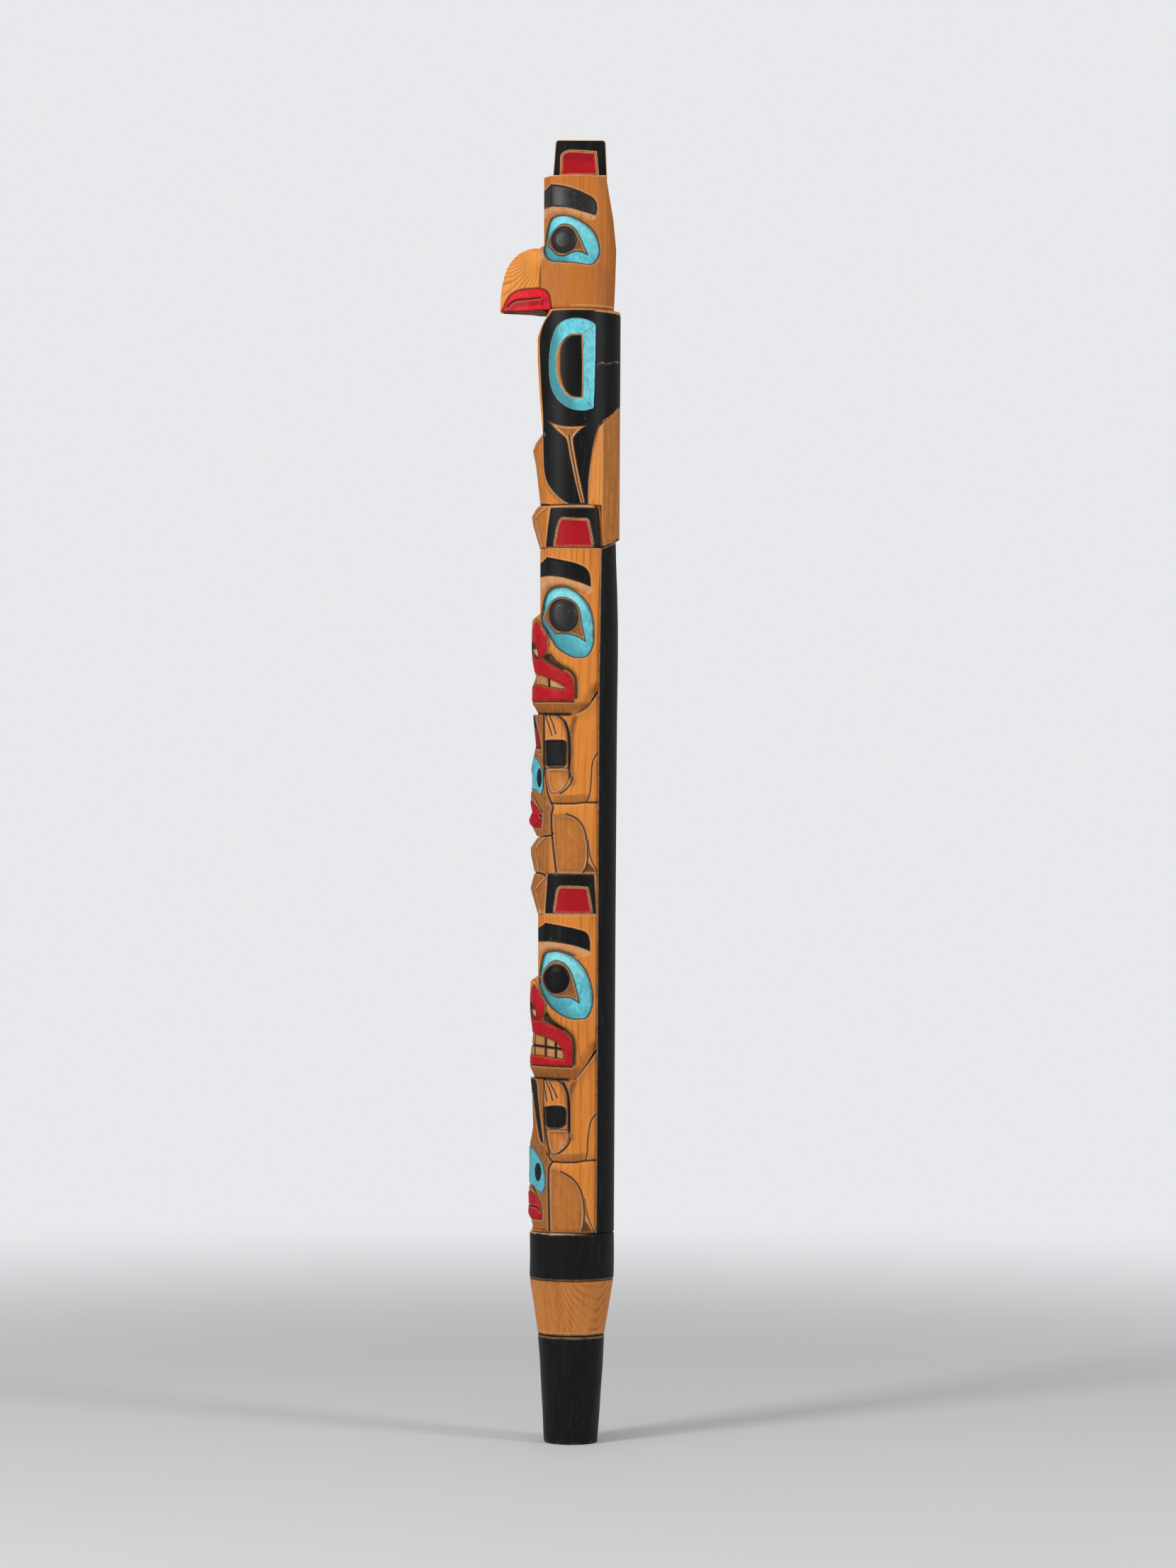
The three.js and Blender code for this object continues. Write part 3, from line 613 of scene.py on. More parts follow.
LOWER_BODY = {
    "hand": [
        (765, 1520, 1), (780, 1522), (793, 1530), (799.5, 1545), (801.5, 1562),
        (801.5, 1592, 1), (768, 1592, 1),
    ],
    "fingers": [
        [(768.5, 1527), (770, 1540), (772.5, 1553)], [(771, 1525), (776.5, 1537), (780.5, 1552)],
        [(775.5, 1525), (782, 1537), (787, 1548)],
    ],
    "pad": [
        (770.5, 1562), (784, 1559.5, 1), (795.5, 1561), (798.5, 1566), (798.5, 1577),
        (796.5, 1587), (784, 1590.5), (773, 1588.5), (769.5, 1580), (769, 1568),
    ],
    "hollow": [
        (772, 1593.5, 1), (786, 1593, 1), (801.5, 1593.5, 1), (802, 1604), (797.5, 1616),
        (788, 1624.5), (779, 1625.5), (774, 1612),
    ],
    "wrist": [(795, 1526), (801, 1540), (803, 1562), (803.5, 1596)],
    "cuff": [(805, 1604), (802.5, 1613), (796, 1621), (787, 1627)],
    "arm_front": [(813, 1524), (806, 1542), (804, 1566), (804.5, 1592), (806.5, 1606)],
    "elbow": [(843, 1570), (836.5, 1577), (833, 1586), (830, 1607), (829, 1625), (827.5, 1635)],
    "belt": [(772, 1627, 1), (777, 1636), (786, 1638.5), (812, 1638.5), (829, 1636.5),
             (860, 1635.5)],
    "hand_front": [(766.5, 1520), (767, 1560), (769.3, 1595), (775, 1628)],
    "leg_front": [(780, 1638), (775, 1646), (774, 1664), (774.5, 1700), (775.5, 1736)],
    "shin": [
        (777, 1652), (785, 1650.5), (793, 1652), (810, 1664), (820.5, 1682), (824, 1708),
        (822.5, 1727), (820, 1738), (777.5, 1738, 1), (775.5, 1700),
    ],
    "knee": [(791.5, 1651.5), (809.5, 1662.5), (821, 1681), (825, 1707), (824, 1725),
             (822, 1736)],
    "heel": [(825, 1716, 1), (830, 1724), (839, 1738, 1), (821, 1738, 1)],
    "heel_line": [(825.5, 1690), (829, 1712), (839, 1737)],
    "feet": [],
    "foot_splits": [],
    "cheek": [(762, 1606, 1), (772, 1622), (779, 1638), (775, 1646), (774, 1664), (775.5, 1736),
              (762, 1736, 1)],
    "jaw": LOWER_JAW,
    "low_row": 1737.6,
}

# The small faces between the hands
UPPER_FACE = {
    "brow": [
        (690, 1011, 1), (752, 1010), (754.5, 1011), (757.5, 1024), (761.5, 1040), (764.5, 1063, 1),
        (762, 1062), (758.5, 1056), (690, 1053, 1),
    ],
    "inset": [
        (742, 1029, 1), (756.5, 1028), (760, 1040), (762, 1053, 1), (757, 1053.5),
        (742, 1053, 1),
    ],
    "eyes": [
        (744, 1069, 1), (752, 1068.5), (758.5, 1073), (764.5, 1084), (767, 1097), (766.5, 1110),
        (763, 1121.5, 1), (757, 1115.5), (750, 1113), (744, 1112, 1),
    ],
    "pupil": (761.3, 1097.5, 3.6, 13.5),
    "lips": [
        (690, 1131, 1), (750, 1129, 1), (757, 1138), (763.5, 1147.5), (765, 1158),
        (763, 1169.5, 1), (755, 1167), (690, 1167, 1),
    ],
    "mouth_line": [(762, 1151), (764.5, 1152)],
    "ball": [(743, 1152), (750, 1150.5), (757, 1152), (761.3, 1158), (758, 1164), (751, 1166),
             (743, 1165)],
    "nose": [(740, 1114), (741, 1122), (747, 1131), (752, 1138)],
    "cheek_line": [(751, 1118), (757, 1131), (765.5, 1146)],
    "edge_column": 767.5,
    "cheek_row": 1116,
    "top_row": 1008.4,
    "low_row": 1180,
}
LOWER_FACE = {
    "brow": [
        (690, 1524, 1), (750, 1523, 1), (757, 1526), (759.5, 1550), (763.5, 1585),
        (767, 1613, 1), (762, 1606), (756.5, 1575), (752.5, 1547), (749, 1543), (690, 1543, 1),
    ],
    "eyes": [
        (740, 1621, 1), (748, 1619.5), (757, 1628), (764.5, 1640), (768.5, 1656), (768.5, 1672),
        (763.5, 1683, 1), (757, 1677.5), (748, 1671), (740, 1670, 1),
    ],
    "pupil": (759.3, 1653.5, 4.6, 13),
    "lips": [
        (690, 1684, 1), (748, 1682, 1), (754, 1685), (760, 1694), (764.5, 1704), (764.5, 1717),
        (757, 1720), (690, 1717, 1),
    ],
    "mouth_line": [(690, 1703), (751, 1702), (763, 1708)],
    "nose": [(738, 1670), (739, 1676), (745, 1684), (750, 1690)],
    "cheek_line": [(748, 1672), (755, 1682), (763, 1697)],
    "edge_column": 770.0,
    "cheek_row": 1618,
    "top_row": 1522.4,
    "low_row": 1733.5,
}

# Ears, let into the body above a head
UPPER_EAR = {
    "ear": [(778, 718.5, 1), (844, 718.5, 1), (846, 745), (848, 772.5, 1), (771.3, 772.5, 1),
            (774, 745)],
    "inset": [(793, 736.5), (799, 735.5, 1), (828, 736.5, 1), (831.5, 752), (835, 771, 1),
              (785, 771, 1), (788.5, 750)],
}
LOWER_EAR = {
    "ear": [(774, 1233.5, 1), (838, 1234, 1), (839.5, 1260), (840.5, 1288, 1), (770, 1288, 1),
            (772, 1260)],
    "inset": [(790, 1255), (797, 1252.8, 1), (827.5, 1254, 1), (830, 1268), (833, 1286.5, 1),
              (784.5, 1286.5, 1), (787, 1268)],
}

# The eagle's wing and beak
WING = {
    "wing": [
        (780, 441, 1), (768, 458), (762.3, 478), (762.5, 506), (764.7, 554), (767, 588.5),
        (767.5, 625), (768.5, 659), (772, 678.5), (779.5, 691.5), (791, 704), (804, 712.3, 1),
        (829, 712.3, 1), (830, 678), (833.5, 649.5), (837.5, 626), (843, 604.5, 1), (850, 595),
        (862, 586), (876, 571), (900, 566, 1), (900, 443, 1), (846, 442.5), (839, 440.5, 1),
    ],
    "ring": [
        (787, 461), (796, 454.5), (809, 451.5), (822, 452), (835, 455.5), (841.5, 460.5, 1),
        (841, 500), (840, 540), (838.5, 577.5, 1), (825.5, 581.5), (810, 580.5), (796, 574),
        (784, 562), (776.5, 544), (774, 515.5), (776.5, 488), (781.5, 470),
    ],
    "hole": [
        (784.5, 512), (786.5, 496), (794, 482.5), (806, 474), (823.5, 473, 1), (824.5, 515.5),
        (824.5, 564.5, 1), (806.5, 563.5), (795, 554), (786.5, 536),
    ],
    "core": [
        (791, 505), (792.5, 491), (797.5, 481.5), (806, 476.5), (820.5, 475.5, 1),
        (821.5, 515.5), (821, 562, 1), (807, 560.5), (797, 550), (791.5, 531),
    ],
    "split": [
        (773, 595, 1), (786, 600.8), (802, 603.8), (816, 603.6), (828.5, 602, 1), (818, 609.5),
        (810.5, 618.5), (809, 625), (813, 650), (819.5, 682), (826, 712.3, 1), (819.5, 712.3, 1),
        (812, 682), (805, 650), (800.5, 625), (796.5, 618.5), (786, 609),
    ],
    "quill": [(803.5, 616), (805, 630), (810, 655), (816, 685), (823, 712.5)],
    "scratch": [(842, 517), (849, 513.5), (857, 514.5), (865, 511), (874, 509.5)],
    "mitres": [[(841.5, 460.5), (823.5, 473)], [(838.5, 577.5), (824.5, 564.5)]],
    "ring_middle": (812, 515),
}
BODY_SEAM = [(690, 613), (766, 613, 1), (768, 614)]
LEG_RIDGES = [
    [(766, 616), (758.5, 626), (755, 636)], [(755, 636), (759, 665), (764, 710)],
    [(740, 625), (739, 650), (741, 709)],
    [(772, 717), (763, 724), (756.5, 731)], [(756.5, 731), (761, 750), (766, 772)],
    [(741, 718), (740, 740), (742, 772)],
]
LEG_SPLIT = [(690, 712.5), (762, 712.5), (775, 714)]
BODY_FOOT = [(690, 712.8), (776, 714), (850, 713.2), (900, 713.2)]

BEAK = {
    "outline": [
        (762, 349, 1), (752.5, 348.5), (737.5, 353), (726, 361.5), (716.5, 375), (710.5, 392.5),
        (707, 411.5), (705.5, 437.5, 1), (762, 437.5, 1),
    ],
    "mouth": [
        (708.5, 437.3, 1), (714.5, 423), (722, 413), (735.5, 407.5), (752.5, 407), (766, 409),
        (773.5, 415.5), (776.5, 427), (777.5, 437.3, 1),
    ],
    "slit": [(717, 431), (720, 427), (725.5, 423.6), (731.5, 421.8), (743.5, 421.2), (763, 421.2)],
    "fan": (763, 357),
}

EAR_BLOCK = {
    "inset": [(795, 221), (802.5, 216.3), (812, 216), (839.3, 217.5, 1), (840.5, 232),
              (842, 246.5, 1), (793.5, 247, 1), (794, 232)],
    # Upper and lower end of the front and of the back edge, and two bevels in millimetres
    "front": ((784.5, 198.6), (780.5, 250)),
    "back": ((855, 198.6), (857, 250)),
    "corner": 2.3,
    "edge": 0.5,
}


# What the knife does on each figure
def carve_eye(c, face, mound=1.1, cut=2.3):
    """Brow, slope under the brow, socket, eyelid and pupil"""
    brow, slope, socket, eyelid, pupil = (
        c.to(face[key]) for key in ("brow", "lid_slope", "socket", "eyelid", "pupil"))
    share = np.maximum(brow, 0) / (np.maximum(brow, 0) + np.maximum(socket, 0) + 0.05)
    inside = ease(-slope / 0.7)
    c.height -= 1.7 * share * inside
    c.stain_and_shading(dark=0.6 * bump(share, 0.9, 0.12) * inside, pale=0.62 * inside * ease(1.2 - share),
            brown=0.85 * inside * ease(share * 1.8 - 0.7))
    ahead, above = c.beyond(*face["eye"])
    away = np.hypot(ahead / 19, above / 22)
    in_socket = np.maximum(-socket, 0)
    rise = in_socket / (in_socket + np.maximum(eyelid, 0) + 0.05)
    floor = -cut * (1 - rise) ** 1.25 - 0.35 + mound * np.clip(1 - away ** 2, 0, 1)
    c.height += floor * ease(-socket / 0.8)
    painted = ease(-socket / 0.6) * ease(eyelid / 0.5)
    # Painted light on the socket's turquoise: paler towards its top as a painted highlight, turned
    # to the thick dark colour towards its front and bottom as painted shade
    c.stain_and_shading(dark=0.85 * bump(socket, -0.2, 0.55),
            pale=0.5 * painted * ease((above + 0.4 * ahead - 3) / 12),
            red=0.75 * painted * ease((-ahead - above - 3) / 15))
    # A pale rim outside the socket's lower edge, its cut edge lit up by a painted highlight, and a
    # painted highlight just inside its back edge
    c.stain_and_shading(pale=0.6 * bump(socket, 0.6, 0.4) * ease((6 - above) / 8))
    c.stain_and_shading(pale=0.5 * bump(socket, -1.2, 0.5) * ease((ahead - 4) / 6) * painted)
    c.height += 0.75 * ease(-eyelid / 0.5)
    c.stain_and_shading(dark=0.95 * bump(eyelid, 0.1, 0.5), pale=0.85 * bump(eyelid, -0.75, 0.34),
            brown=0.95 * ease(-eyelid / 0.8))
    c.stain_and_shading(dark=0.4 * bump(pupil, 0.8, 1.2))
    c.groove(pupil, depth=0.55, width=0.45, dark=1.0, pale=0.45, side=1)
    c.height += 0.95 * ease(-pupil / 4.5)
    c.sink(brow, 0.45, 0.5)
    c.stain_and_shading(dark=0.9 * bump(brow, 0.15, 0.35), pale=0.7 * bump(brow, 0.85, 0.35))
    c.cover(brow, pupil, np.where(eyelid > 0, np.maximum(socket + 0.35, -eyelid), FAR))


def carve_head(c, head):
    """A bear's head"""
    carve_eye(c, head)
    nose, wedge, lips, mouth, nostril = (
        c.to(head[key]) for key in ("nose", "wedge", "lips", "mouth", "nostril"))
    fold, chin, jaw = (c.to(head[key], False) for key in ("lip_fold", "chin", "jaw"))
    c.stain_and_shading(pale=0.7 * bump(c.above(head["top_row"]), -0.3, 0.45))
    upper = ease(c.above(head["nose_foot"]) / 4)
    beside = ease((c.around - 3) / 15)
    c.height += (0.9 * ease(-nose / 0.8) + 0.7 * ease(-nose / 6)) * upper * beside
    c.stain_and_shading(dark=0.75 * bump(nose, 0.9, 0.5) * upper, pale=0.5 * bump(nose, 0.1, 0.3) * upper)
    c.sink(wedge, 1.6, 1.2)
    c.stain_and_shading(dark=0.85 * ease(0.3 - wedge / 1.2), brown=0.9 * ease(0.6 - wedge / 1.5))
    outside = ease(lips / 0.5)
    c.height -= 1.3 * bump(fold, 0, 1.6) * outside
    c.stain_and_shading(dark=0.9 * bump(fold) * outside, brown=0.9 * bump(fold, 0, 2.3) * outside)
    c.height += 0.55 * ease(-lips / 1.1) * beside
    c.stain_and_shading(dark=0.8 * bump(lips, 0.35, 0.45) * ease(mouth / 0.4),
            red=0.7 * ease((3 - nostril) / 4) * ease(-lips / 0.8) * ease(nostril / 0.3))
    c.height -= 1.6 * ease(-mouth / 0.8) * (0.25 + 0.75 * ease((c.around - 2) / 7))
    c.stain_and_shading(brown=ease(-mouth / 0.6))
    inside = ease(-mouth / 0.7)
    block = -mouth
    for line in head["teeth"]:
        gap = np.abs(c.to(line, False, 5.0))
        c.height -= 0.75 * bump(gap, 0, 0.45) * inside
        block = np.minimum(block, gap)
    c.height += 0.5 * ease((block - 0.3) / 1.6) * inside
    tooth = ease((block - 0.8) / 0.9) * inside
    ahead, _ = c.beyond(773, head["nose_foot"] + 25)
    c.stain_and_shading(dark=ease(1 - (block - 0.25) / 0.9) * inside,
            pale=tooth * (0.28 + 0.4 * ease((ahead + 1) / 3)))
    c.brown *= 1 - 0.45 * tooth
    c.height -= 2.4 * ease(-nostril / 2.2)
    # Painted shadow under the nostril's upper rim, painted light on its floor
    lit = ease(-c.above(head["nostril_floor"]) / 1.2) * ease((-nostril - 0.3) / 0.5)
    c.stain_and_shading(dark=0.95 * bump(nostril, -0.3, 0.7) + 0.5 * ease(-nostril / 0.7) * (1 - lit),
            pale=0.95 * lit, brown=ease(-nostril / 0.7))
    c.groove(chin, depth=0.7, width=0.5, dark=0.95, pale=0.6, side=-1)
    under = ease(1 - np.abs(jaw) / 8.6)
    c.height -= 2.1 * under ** 0.8
    # Painted shadow along the jaw at the front, and painted shade in brown on the bevel under the
    # jaw and below the chin; the pale line behind is the cut edge
    c.stain_and_shading(dark=0.95 * ease(1 - np.abs(jaw) / 2.2) * ease((46 - c.around) / 6),
            pale=0.7 * bump(np.abs(jaw), 0.35, 0.4) * ease((c.around - 47) / 3),
            brown=0.9 * ease(1.5 * under) * (0.35 + 0.65 * ease((46 - c.around) / 8)))
    c.stain_and_shading(brown=0.75 * ease(-c.above(head["chin_row"])))
    c.cover(np.maximum(lips, -nostril))


def carve_eagle_head(c):
    carve_eye(c, EAGLE, mound=0.9, cut=2.0)
    c.stain_and_shading(pale=0.8 * bump(c.above(EAGLE["top_row"]), -0.2, 0.4))
    mouth, socket = c.to(BEAK["mouth"]), c.to(EAGLE["socket"])
    turn = c.around / UNROLL
    wide, deep = BEAK_SEAT
    seat = np.minimum(wide / np.maximum(np.sin(turn), 0.3), deep / np.maximum(np.cos(turn), 0.3))
    seat = np.where(c.around < 40, np.clip(seat - c.skin.radius(turn, c.up), 0, 5), 0)
    c.height += seat * ease(-c.above(350) / 3) * ease((socket - 0.4) / 1.5)
    c.height -= 0.4 * bump(mouth, 0.3, 0.5)
    # A dark band round the mouth: its cut line and a painted shadow of its sunk edge
    c.stain_and_shading(dark=0.9 * bump(mouth, 0.3, 0.55))
    c.cover(mouth)
    throat = c.above(438)
    c.height -= 0.9 * ease(1 - throat / 2.4)
    c.stain_and_shading(dark=0.5 * ease(1 - throat / 0.9), brown=0.5 * ease(1 - throat / 2.4),
            pale=0.6 * bump(throat, 2.3, 0.5) * ease((c.around - 38) / 8))
    ahead, above = c.beyond(766.5, 352)
    c.stain_and_shading(pale=0.8 * ease(1 - np.hypot(ahead / 2.4, (above + 3) / 9)))
    joint = UNROLL * math.atan2(wide, deep)
    bare = ease(-c.above(374) / 4) * ease((mouth - 0.4) / 0.4)
    c.stain_and_shading(dark=0.95 * bump(c.around, joint, 0.4) * bare,
            pale=0.1 * ease((joint + 7 - c.around) / 6) * bare,
            brown=0.2 * ease((c.around - joint - 4) / 8) * ease(-c.above(368) / 8))
    # Painted shade: browner towards the back of the head, the side turned from the light
    ahead, _ = c.beyond(853, 400)
    c.stain_and_shading(brown=0.4 * ease((ahead + 0.003 * c.above(352) ** 2) / 9))


def carve_ear(c, ear):
    """The bed of an ear: a low step, and the pale rim between its black and its red"""
    edge, inset = c.to(ear["ear"]), c.to(ear["inset"])
    rim = ease(-edge / 0.8) * ease((1.9 - inset) / 0.3)
    c.height += 0.55 * ease(-edge / 0.8) + 0.15 * rim - 0.7 * ease(-inset / 0.6)
    c.stain_and_shading(dark=0.9 * bump(edge, 0.15, 0.35), pale=0.85 * bump(edge, 0.85, 0.4),
            brown=0.6 * rim, red=0.35 * ease((-inset - 0.3) / 0.5))
    c.stain_and_shading(dark=0.95 * bump(inset, 0.85, 0.22), pale=0.85 * bump(inset, 1.35, 0.3))
    c.stain_and_shading(pale=0.7 * bump(inset, 0.3, 0.3))
    c.cover(np.maximum(edge, 1.6 - inset), inset)


def carve_eagle_body(c):
    tail_skin = SKINS["eagle_tail"]
    tail = measure(c.around, c.up, tail_skin.line(TAIL_AREA))
    turn = c.around / UNROLL
    bed = tail_skin.radius(turn, c.up) - 2.5 - c.skin.radius(turn, c.up)
    c.height += bed * ease((-tail - 0.7) / 0.8)
    wing = c.to(WING["wing"], reach=14)
    ring, hole, core, split = (c.to(WING[key]) for key in ("ring", "hole", "core", "split"))
    c.height -= 0.25 * ease(wing / 0.8) * ease(c.above(716) / 2)
    c.stain_and_shading(dark=0.85 * bump(wing, 0.2, 0.4), pale=0.8 * bump(wing, 0.95, 0.4))
    low = np.maximum(-ring, 0)
    rise = low / (low + np.maximum(hole, 0) + 0.05)
    c.height += (-1.7 + 1.25 * rise) * ease(-ring / 0.7)
    painted = ease(-ring / 0.5) * ease(hole / 0.5)
    # Painted light on the ring: paler on its back limb as a painted highlight, the thick dark
    # turquoise on its front limb as painted shade
    ahead, above = c.beyond(*WING["ring_middle"])
    c.stain_and_shading(pale=0.25 * painted * ease((ahead + 0.15 * above - 4) / 8),
            red=0.95 * painted * ease((-ahead - 0.25 * above - 3) / 8))
    # Painted highlights: a pale line inside the ring's outer wall above its foot, and one along the
    # inner edge of its front limb
    c.stain_and_shading(pale=0.7 * bump(ring, -0.6, 0.45) * ease((above + 18) / 12) * painted)
    c.stain_and_shading(pale=0.5 * bump(hole, 0.7, 0.4) * ease((-ahead - 2) / 5) * painted)
    # Painted shade in the mitre creases at the ring's back corners
    for line in WING["mitres"]:
        c.stain_and_shading(dark=0.55 * bump(c.to(line, False, 4.0), 0, 0.35) * painted)
    c.stain_and_shading(pale=0.55 * bump(c.to(WING["scratch"], False, 4.0), 0, 0.3),
            brown=0.75 * bump(wing, 1.0, 2.4) * ease(-c.above(596) / 6))
    rim = ease(-hole / 0.4)
    c.height += (0.35 - 0.9 * ease((2.6 - core) / 2.4)) * rim + 0.1 * ease(-core / 0.5)
    c.stain_and_shading(dark=0.9 * bump(core, 0.25, 0.3), pale=0.9 * bump(hole, -0.5, 0.45), brown=0.6 * rim)
    drop = ease((4 - c.above(600)) / 9)
    c.height -= (1.5 - 1.2 * drop) * ease(-split / 0.7)
    # The split's edges are cut lines; its floor is browned as painted shade in the recess
    c.stain_and_shading(dark=0.85 * bump(split, -0.1, 0.35), pale=0.75 * bump(split, -0.9, 0.5),
            brown=0.75 * ease(-split - 0.6))
    quill = c.to(WING["quill"], False, 5.0)
    c.groove(np.where(split < 0.1, quill, FAR), depth=0.5, width=0.4, dark=1.0, pale=0.4)
    c.cover(np.where(ring > 0, np.maximum(wing, -split), np.where(hole > 0, ring, core)))
    c.ridges(LEG_RIDGES)
    c.line(LEG_SPLIT, depth=0.9, width=0.5, dark=0.95)
    c.line(BODY_SEAM, depth=0.5, width=0.5, dark=0.7)
    c.line(BODY_FOOT, depth=0.9, width=0.45, dark=0.9, pale=0.85, side=-1)
    # The fronts of the legs browner below the wings: their own darker wood, with painted shade on
    # the side turned from the light
    ahead, _ = c.beyond(772, 690)
    c.stain_and_shading(brown=0.4 * ease(-ahead / 1.5) * ease(-c.above(600) / 6))
    carve_ear(c, UPPER_EAR)


# A torso's plain cuts: depth, width, how dark the cut is and how pale its edges
TORSO_CUTS = {
    "cuff": (0.8, 0.5, 0.9, 0.5), "elbow": (0.7, 0.5, 0.8, 0.4),
    "hand_front": (0.9, 0.7, 0.9, 0.35), "leg_front": (0.9, 0.7, 0.9, 0.45),
    "knee": (0.8, 0.55, 0.9, 0.45), "heel_line": (0.6, 0.5, 0.75, 0.4),
}


def carve_torso(c, body, face_row):
    """Arms, hands and legs of a bear"""
    hand, pad, hollow, cheek, shin, heel = (
        c.to(body[key]) for key in ("hand", "pad", "hollow", "cheek", "shin", "heel"))
    jaw, arm, wrist, belt = (
        c.to(body[key], False) for key in ("jaw", "arm_front", "wrist", "belt"))
    behind = ease((c.around - 44) / 4)
    shade = ease(1 - np.abs(jaw) / 2.6) * ease((46 - c.around) / 5)
    c.height -= 1.5 * ease(1 - np.abs(jaw) / 1.6) * ease((UNROLL * 1.75 - c.around) / 5)
    c.height -= 0.9 * shade
    c.stain_and_shading(dark=0.6 * bump(jaw, 0, 0.6) * behind, pale=0.6 * bump(np.abs(jaw), 0.9, 0.4) * behind)
    # Painted shadow under the chin in dark and brown, and painted shade in brown on the shoulder
    # under the jaw
    c.stain_and_shading(dark=0.9 * shade, brown=shade)
    c.stain_and_shading(brown=0.35 * ease(1 - np.abs(jaw) / 9) * ease((c.around - 36) / 6))
    palm = ease(c.above(body["pad"][-3][1]) / 1.5)
    c.height += 0.5 * ease(-hand / 2.5) - 0.8 * bump(hand, 0.7, 0.9)
    # Painted shade round the raised hand: dark beside it and brown inside its edge, down to the
    # foot of the pad; the pale line is its cut edge
    c.stain_and_shading(dark=0.9 * bump(hand, 0.9, 1.1) * palm, pale=0.45 * bump(hand, -0.5, 0.4),
            brown=0.8 * bump(hand, -0.4, 1.6) * palm)
    for line in body["fingers"]:
        c.line(line, depth=0.8, width=0.45, dark=1.0, pale=0.6)
    above = ease(c.above(face_row) / 2)
    c.height -= 0.9 * bump(arm, 0, 2.2) * above
    # Painted shade: brown along the front of the arm and a broad dark band beside the wrist's cut
    c.stain_and_shading(dark=0.75 * bump(wrist, -0.4, 1.3), brown=bump(arm, -0.4, 2.4) * above)
    c.groove(wrist, depth=0.8, width=0.7, dark=0.95, pale=0.3)
    c.sink(pad, 0.35, 0.5)
    c.stain_and_shading(dark=0.95 * bump(pad, 0.3, 0.5), pale=0.85 * bump(pad, 1.15, 0.35))
    c.height -= 1.7 * ease(-hollow / 3.6)
    # The hollow's cut edges, and brown inside it as painted shade in the recess
    c.stain_and_shading(dark=0.8 * bump(hollow, 0.2, 0.4), pale=0.6 * bump(hollow, -0.6, 0.5),
            brown=0.3 * ease(-hollow / 3) + 0.7 * bump(hollow, -0.5, 1.6))
    # A painted highlight in the hollow, and brown inside the cheek line
    ahead, rise = c.beyond(*body["hollow"][4][:2])
    c.stain_and_shading(pale=0.5 * bump(np.hypot((ahead + 2.5) / 2.8, rise / 4.5)),
            brown=0.85 * ease(0.3 - cheek / 1.5))
    forearm = ease((6.8 - belt) / 1.5) * ease(belt / 0.4) * ease((c.around - 27) / 4)
    c.stain_and_shading(brown=0.62 * forearm * ease((60 - c.around) / 6))
    c.height -= 0.6 * ease(1 - np.abs(belt) / 5)
    c.groove(belt, depth=1.0, width=0.55, dark=0.9, pale=0.75, side=-1)
    for key, cut in TORSO_CUTS.items():
        c.groove(c.to(body[key], False, 6.0), *cut)
    c.height -= 0.8 * ease(-shin / 1.2) * ease(1.15 + shin / 26)
    c.stain_and_shading(pale=0.35 * bump(shin, -1.1, 0.5),
            brown=0.5 * ease(-shin / 1.5) + 0.35 * bump(shin, -0.6, 2.2))
    c.sink(heel, 1.4, 1.6)
    c.stain_and_shading(dark=0.75 * ease(-heel / 1.2), pale=0.7 * bump(heel, 0.4, 0.4))
    c.ridges(body["feet"])
    for line in body["foot_splits"]:
        c.line(line, depth=1.0, width=0.6, dark=0.95, pale=0.4)
    c.cover(pad)


def carve_upper_torso(c):
    carve_torso(c, UPPER_BODY, 1133)
    carve_ear(c, LOWER_EAR)
    # The fronts of the feet browner: their own darker wood, with painted shade on the side turned
    # from the light; a dark line along the foot of the shin
    ahead, _ = c.beyond(777, 1215)
    c.stain_and_shading(brown=0.65 * ease(-ahead / 1.5) * ease(-c.above(1178) / 2) * ease(c.above(1286) / 2),
            dark=0.7 * bump(c.above(1232.5), 0, 0.6) * ease((c.around - 22) / 3))


def carve_lower_torso(c):
    carve_torso(c, LOWER_BODY, 1637)
    c.stain_and_shading(dark=0.6 * ease(-c.above(1735) / 0.8))


